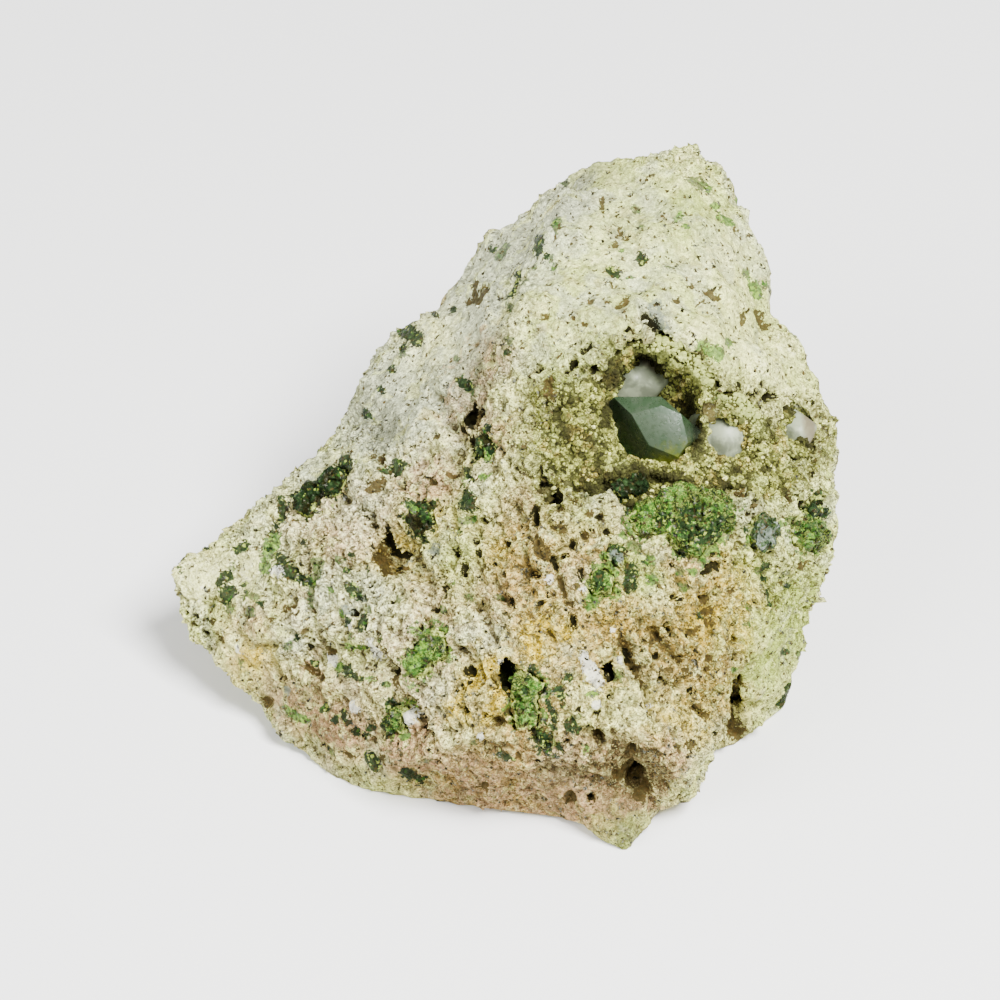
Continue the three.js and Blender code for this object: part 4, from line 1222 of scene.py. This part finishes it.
def garnet_shape():
    """Corners and rhombic faces of garnet's own form."""
    corners = [(x, y, z) for x in (-1, 1) for y in (-1, 1) for z in (-1, 1)]
    corners += [tuple(2 * sign * (axis == k) for k in range(3)) for axis in range(3) for sign in (-1, 1)]
    index = {corner: i for i, corner in enumerate(corners)}
    faces = []
    for first, second in ((0, 1), (1, 2), (2, 0)):
        for s in (-1, 1):
            for t in (-1, 1):
                third = 3 - first - second
                ring = []
                for entries in ({first: 2 * s}, {first: s, second: t, third: 1}, {second: 2 * t},
                                {first: s, second: t, third: -1}):
                    ring.append(index[tuple(entries.get(k, 0) for k in range(3))])
                ends = np.array([corners[i] for i in ring[:3]], dtype=float)
                out = np.dot(np.cross(ends[1] - ends[0], ends[2] - ends[0]), ends.sum(0)) > 0
                faces.append(ring if out else ring[::-1])
    return np.array(corners, dtype=float) / 2, np.array(faces)


def random_turns(random, count):
    """Turning matrices in all directions alike."""
    spins = random.normal(size=(count, 4))
    spins /= np.linalg.norm(spins, axis=1)[:, None]
    w, x, y, z = spins.T
    rows = [
        [1 - 2 * (y * y + z * z), 2 * (x * y - z * w), 2 * (x * z + y * w)],
        [2 * (x * y + z * w), 1 - 2 * (x * x + z * z), 2 * (y * z - x * w)],
        [2 * (x * z - y * w), 2 * (y * z + x * w), 1 - 2 * (x * x + y * y)],
    ]
    return np.moveaxis(np.array(rows), 2, 0)


def spread_on(piece, count, random):
    """Random points over a piece's triangles, with the normal and nearest vertex of each."""
    triangles = triangles_of(piece)
    ends = corners_of(piece)[triangles]
    normals = np.cross(ends[:, 1] - ends[:, 0], ends[:, 2] - ends[:, 0])
    doubles = np.linalg.norm(normals, axis=1)
    normals /= np.maximum(doubles, 1e-18)[:, None]
    chosen = np.searchsorted(np.cumsum(doubles), random.random(count) * doubles.sum())
    chosen = np.minimum(chosen, len(triangles) - 1)
    u, v = random.random(count), random.random(count)
    flip = u + v > 1
    u, v = np.where(flip, 1 - u, u), np.where(flip, 1 - v, v)
    start = ends[chosen, 0]
    points = start + u[:, None] * (ends[chosen, 1] - start) + v[:, None] * (ends[chosen, 2] - start)
    return points, normals[chosen], triangles[chosen, 0]


def many_copies(name, shape, places, sizes, stretches, turns):
    """One mesh of many copies of a small shape."""
    corners, faces = shape
    placed = np.einsum("nij,nkj->nki", turns, corners[None] * stretches[:, None, :]) * sizes[:, None, None]
    placed += places[:, None, :]
    offsets = np.arange(len(places))[:, None, None] * len(corners)
    return new_mesh(name, placed.reshape(-1, 3), (faces[None] + offsets).reshape(-1, faces.shape[1]))


def grains_on(rock, name, shape, count, size, wanted, ragged, random):
    """Grains half sunk in the rock where they are wanted, with the rock's colours and their own tones."""
    points, normals, nearest = spread_on(rock, count * 5, random)
    chance = wanted[nearest] * np.where(toward_eye(normals) > -0.1, 1.0, 0.35) * (points[:, 2] > 1.0 * MM)
    kept = np.flatnonzero(random.random(len(points)) < chance)[:count]
    radius = size * np.exp(random.normal(0, 0.45, len(kept)))
    stretches = random.uniform(0.5, 1.4, (len(kept), 3))
    places = points[kept] - normals[kept] * (radius * random.uniform(0.0, 0.6, len(kept)))[:, None]
    piece = many_copies(name, shape, places, radius, stretches, random_turns(random, len(kept)))
    each = len(shape[0])
    jitter = random.normal(0, ragged, (len(kept), each, 3)) * radius[:, None, None]
    moved = corners_of(piece) + jitter.reshape(-1, 3)
    moved[:, 2] = np.maximum(moved[:, 2], FLOOR_GAP)
    move_corners(piece, moved)
    for attribute in rock.data.attributes:
        if attribute.data_type == "FLOAT" and attribute.domain == "POINT":
            values = read(attribute.data, "value", 1)[nearest[kept]]
            if attribute.name in ("crevice", "hollow"):
                values = values * 0.5
            if attribute.name == "tone":
                values = np.clip(random.normal(0.55, 0.25, len(kept)), 0, 1)
            give_attribute(piece, attribute.name, np.repeat(values, each))
    return piece


def all_grains(rock, sizes):
    """Crumbs and sugary grains on the rough faces, and garnet grains around the vug."""
    random = np.random.default_rng(GRAIN_SEED)
    places = corners_of(rock)
    share = {key: read(rock.data.attributes[key].data, "value", 1) for key in ("rough", "olive", "hollow")}
    open_rock = (1 - share["hollow"]) * (1 - 0.7 * (near_nodes(places, garnet_nodes(), 0.5 * MM) > 0))
    patchy = smoothstep(fractal(places, 3.4, 3, 41.0), -0.25, 0.35)
    fine_patchy = smoothstep(fractal(places, 2.2, 3, 47.0), -0.2, 0.3)
    rough = smoothstep(share["rough"], 0.3, 1.0)
    crumbs = (0.02 + 0.8 * rough * (0.15 + 0.85 * patchy)) * (1 - 0.6 * share["olive"]) * open_rock
    sugar = (0.05 + 0.8 * rough * (0.2 + 0.8 * fine_patchy)) * open_rock
    lip = near_nodes(places, ["vug_druse"], 1.6 * MM) ** 0.5
    rim = np.maximum(share["olive"] ** 1.5, lip) * open_rock
    crumbs = np.maximum(crumbs, 0.8 * lip * open_rock)
    return [
        grains_on(rock, "rock_crumbs", sugar_shape(), sizes.crumbs, sizes.crumb_size, crumbs, 0.3, random),
        grains_on(rock, "sugar_grains", sugar_shape(), sizes.sugar, sizes.sugar_size, sugar, 0.25, random),
        grains_on(rock, "rim_grains", garnet_shape(), sizes.rim_grains, sizes.rim_size, rim, 0.06, random),
    ]


def spaced_points(points, normals, stone, spacing):
    """The points that the stone leaves free, so far apart, in the order in which they were drawn."""
    kept = []
    for index in range(len(points)):
        start = Vector(points[index] + normals[index] * 0.02 * MM)
        if stone.ray_cast(start, Vector(normals[index]), 0.4 * MM)[0] is None:
            kept.append(index)
    tree = KDTree(len(kept))
    for order, index in enumerate(kept):
        tree.insert(points[index], order)
    tree.balance()
    taken = np.zeros(len(kept), dtype=bool)
    chosen = []
    for order, index in enumerate(kept):
        if not taken[order]:
            chosen.append(index)
            for _, other, _ in tree.find_range(points[index], spacing):
                taken[other] = True
    return chosen


def druse_piece(sizes):
    """The crust of the vug: a rough ground covered with thousands of small garnet crystals."""
    random = np.random.default_rng(DRUSE_SEED)
    ground = copy_of("vug_druse", "druse_crystals")
    apply_modifier(ground, "REMESH", mode="VOXEL", voxel_size=0.32 * MM)
    places = corners_of(ground)
    normals = normals_of(ground)
    swell = 0.45 * MM * fractal(places, 1.9, 4, 13.0) + 0.15 * MM
    move_corners(ground, places + normals * swell[:, None])
    relief = swell - smoothed(ground, swell, 12)

    stone = frame["nodes"]["matrix_stone"]
    points, normals, nearest = spread_on(ground, sizes.druse_points, random)
    chosen = spaced_points(points, normals, surface_tree(stone), sizes.druse_spacing)
    points, normals, relief = points[chosen], normals[chosen], relief[nearest[chosen]]
    radius = sizes.druse_size * np.exp(random.normal(0, 0.35, len(points)))
    centres = points + normals * (radius * random.uniform(-0.3, 0.4, len(points)))[:, None]
    stretches = random.uniform(0.8, 1.25, (len(points), 3))
    turns = random_turns(random, len(points))
    grains = many_copies("druse_grains", garnet_shape(), centres, radius, stretches, turns)
    # The painted shade of the druse: in its dips, where it is shut in, in patches by chance and in the
    # listed dark places of the vug
    shut = sheltered(points, normals, surface_tree(stone, ground), 5 * MM, 14, random)
    # Each crystal's tone is partly by chance and partly painted light and shade: lighter on the ground's
    # swells, darker in its dips
    tone = np.clip(0.42 + 0.28 * random.normal(size=len(points)) + 2.0 * relief / MM, 0, 1)
    deep = 0.9 * smoothstep(-relief, -0.02 * MM, 0.14 * MM) + 1.1 * smoothstep(shut, 0.3, 0.75)
    seen = in_picture(points)
    deep += smoothstep(fractal(points, 1.7, 3, 19.0), 0.4, 0.6) + patch_share(seen, VUG_SHADES)
    crust = patch_share(seen, VUG_LIGHTS)
    deep = np.clip(deep, 0, 1) * (1 - 0.7 * crust)
    each = len(garnet_shape()[0])
    for name, values in (("tone", tone), ("deep", deep), ("crust", crust)):
        give_attribute(grains, name, np.repeat(values, each))
    # The ground between the crystals is painted dark, a painted shade
    for name, value in (("tone", 0.2), ("deep", 0.9)):
        give_attribute(ground, name, np.full(len(ground.data.vertices), value))
    activate(ground)
    grains.select_set(True)
    bpy.ops.object.join()
    return ground


def grown_copy(node, name, grown, voxel):
    """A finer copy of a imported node, grown out of its pocket's gap."""
    piece = copy_of(node, name)
    apply_modifier(piece, "REMESH", mode="VOXEL", voxel_size=voxel)
    move_corners(piece, corners_of(piece) + normals_of(piece) * grown)
    return piece


def garnet_piece(node, name, rock_tree):
    """A mass of cracked garnet grains, broken into tilted blocks and ragged where it meets the rock."""
    grown = -0.3 if node == "garnet_dark_hollow" else 0.2
    piece = grown_copy(node, name, grown * MM, 0.17 * MM)
    places = corners_of(piece)
    _, edges, seeds = granules(places, BLOCK_SIZE, BLOCK_SHIFT)
    tilts = np.array([noise.cell_vector(Vector(seed) * TILT_CHANCE) for seed in seeds]) - 0.5
    tone = np.array([noise.cell(Vector(seed) * TONE_CHANCE) for seed in seeds])
    start = BLOCK_SHIFT * np.array((1, -1, 0.6))
    block = np.einsum("ij,ij->i", places / (BLOCK_SIZE * MM) + start - seeds, tilts)
    cracks = 1 - smoothstep(edges, 0.0, 0.12)
    away = np.array([rock_tree.find_nearest(Vector(point), 2 * MM)[3] or 2 * MM for point in places])
    rim = 1 - smoothstep(away, 0.15 * MM, 0.9 * MM)
    height = 0.9 * MM * block + 0.22 * MM * fractal(places, 0.8, 4, 7.0)
    height = height - 0.25 * MM * cracks - 0.1 * MM * rim
    seen = in_picture(places)
    for mineral in ("mid_green", "bright_green", "dark_green", "blue_grey", "brown"):
        give_attribute(piece, mineral, 0.75 * patch_share(seen, MINERALS[mineral]))
    move_corners(piece, places + normals_of(piece) * height[:, None])
    give_attribute(piece, "tone", np.abs(tone) % 1.0)
    give_attribute(piece, "rim", rim)
    give_attribute(piece, "crevice", cracks * smoothstep(fractal(places, 1.5, 2, 3.0), -0.2, 0.2))
    return piece


class GARNET_OT_stage(Operator):
    """Makes the floor, the light and the camera"""

    bl_idname = "garnet.stage"
    bl_label = "Stage"

    def execute(self, context):
        stage = context.scene.garnet_stage
        deselect_all()
        bpy.ops.mesh.primitive_plane_add(size=6, location=(0, 0, 0))
        floor = context.object
        floor.name = "floor"
        looks = {"Base Color": (*stage.floor_colour, 1), "Roughness": 0.8}
        floor.data.materials.append(Finish("pale_floor").surface(looks))

        for name, place, size, power in (
            ("key_light", Vector((0.26, -0.30, 0.6)), 0.3, stage.key_power),
            ("fill_light", Vector((-0.5, -0.4, 0.4)), 0.5, stage.fill_power),
        ):
            lamp = bpy.data.lights.new(name, "AREA")
            lamp.size = size
            lamp.energy = power
            aimed(name, lamp, place, LIT_PLACE)

        sky = bpy.data.worlds.new("pale_sky")
        sky.use_nodes = True
        light = sky.node_tree.nodes["Background"].inputs
        light["Color"].default_value = (1, 1, 1, 1)
        light["Strength"].default_value = stage.sky
        context.scene.world = sky

        place, target = eye()
        lens = bpy.data.cameras.new("camera")
        lens.sensor_width = SENSOR
        lens.lens = SENSOR * VIEW_DISTANCE / (PICTURE_WIDTH * PIXEL)
        lens.clip_start = 0.01
        lens.clip_end = 20
        context.scene.camera = aimed("camera", lens, place, target)
        return {"FINISHED"}


class GARNET_OT_rock(Operator):
    """Makes the broken rock with its crumbs"""

    bl_idname = "garnet.rock"
    bl_label = "Rock"

    def execute(self, context):
        sizes = context.scene.garnet_sizes
        rock = rock_piece(sizes)
        grains = all_grains(rock, sizes)
        finish = rock_finish(context.scene.garnet_colours)
        smooth_shaded(rock)
        dress(rock, finish, "matrix", "matrix_stone")
        for piece in grains:
            dress(piece, finish, "matrix")
        return {"FINISHED"}


class GARNET_OT_druse(Operator):
    """Makes the druse that lines the vug"""

    bl_idname = "garnet.druse"
    bl_label = "Druse"

    def execute(self, context):
        druse = druse_piece(context.scene.garnet_sizes)
        dress(druse, druse_finish(context.scene.garnet_colours), "druse", "vug_druse")
        return {"FINISHED"}


class GARNET_OT_crystals(Operator):
    """Finishes the main crystal and makes the milky ones"""

    bl_idname = "garnet.crystals"
    bl_label = "Crystals"

    def execute(self, context):
        colours = context.scene.garnet_colours
        gem = copy_of("demantoid_crystal", "green_garnet_crystal")
        activate(gem)
        bpy.ops.object.mode_set(mode="EDIT")
        bpy.ops.mesh.select_all(action="SELECT")
        bpy.ops.mesh.tris_convert_to_quads()
        bpy.ops.mesh.dissolve_limited(angle_limit=math.radians(1))
        bpy.ops.object.mode_set(mode="OBJECT")
        apply_modifier(gem, "BEVEL", width=0.1 * MM, segments=2, limit_method="ANGLE",
                       angle_limit=math.radians(12))
        dress(gem, demantoid_finish(colours), "demantoid", "demantoid_crystal")
        finish = milky_finish(colours)
        for place, grown in (("upper", 0.3), ("middle", 1.5), ("right", 0.4)):
            node = f"milky_crystal_{place}"
            piece = grown_copy(node, f"milky_{place}", grown * MM, 0.22 * MM)
            give_attribute(piece, "deep", patch_share(in_picture(corners_of(piece)), MILKY_SHADES))
            smooth_shaded(piece)
            dress(piece, finish, "milky_crystal", node)
        return {"FINISHED"}


class GARNET_OT_garnets(Operator):
    """Makes the smaller garnet masses in the rock"""

    bl_idname = "garnet.garnets"
    bl_label = "Garnet masses"

    def execute(self, context):
        colours = context.scene.garnet_colours
        rock = bpy.data.objects.get("broken_rock")
        if rock is None:
            raise RuntimeError("The garnet masses need the rock: make it first")
        finishes = {}
        for slot, light, middle, dark, share_of_rock in (
            ("green_garnet", colours.bright_green, colours.leaf_green, colours.dark_green, 0.26),
            ("dark_garnet", colours.deep_green, colours.dark_green, colours.pore, 0.0),
            ("grey_garnet", colours.blue_grey, colours.deep_green, colours.dark_green, 0.05),
        ):
            finishes[slot] = garnet_finish(slot, colours, light, middle, dark, share_of_rock)
        rock_tree = surface_tree(rock)
        for node, slot in sorted(garnet_nodes().items()):
            piece = garnet_piece(node, node.removeprefix("garnet_") + "_garnet", rock_tree)
            activate(piece)
            bpy.ops.object.shade_smooth_by_angle(angle=math.radians(35))
            dress(piece, finishes[slot], slot, node)
        return {"FINISHED"}


class GARNET_PT_panel(Panel):
    """Lists the pieces and their settings"""

    bl_idname = "GARNET_PT_panel"
    bl_label = "Demantoid Garnet"
    bl_space_type = "VIEW_3D"
    bl_region_type = "UI"
    bl_category = "Garnet"

    def draw(self, context):
        layout = self.layout
        for operator in OPERATORS:
            layout.operator(operator.bl_idname)
        for name in GROUPS:
            group = getattr(context.scene, name)
            for key in group.bl_rna.properties.keys():
                if key not in ("rna_type", "name"):
                    layout.prop(group, key)


OPERATORS = (GARNET_OT_stage, GARNET_OT_rock, GARNET_OT_druse, GARNET_OT_crystals, GARNET_OT_garnets)
GROUPS = {
    "garnet_colours": GARNET_PG_colours,
    "garnet_sizes": GARNET_PG_sizes,
    "garnet_stage": GARNET_PG_stage,
}


def register():
    """Registers the settings, the operators and the panel."""
    for name, group in GROUPS.items():
        bpy.utils.register_class(group)
        setattr(bpy.types.Scene, name, PointerProperty(type=group))
    for operator in OPERATORS:
        bpy.utils.register_class(operator)
    bpy.utils.register_class(GARNET_PT_panel)


def unregister():
    """Takes them all away again."""
    bpy.utils.unregister_class(GARNET_PT_panel)
    for operator in reversed(OPERATORS):
        bpy.utils.unregister_class(operator)
    for name, group in reversed(GROUPS.items()):
        delattr(bpy.types.Scene, name)
        bpy.utils.unregister_class(group)


def main():
    """Makes every piece."""
    register()
    bpy.ops.garnet.stage()
    bpy.ops.garnet.rock()
    bpy.ops.garnet.druse()
    bpy.ops.garnet.crystals()
    bpy.ops.garnet.garnets()


if __name__ == "__main__":
    main()
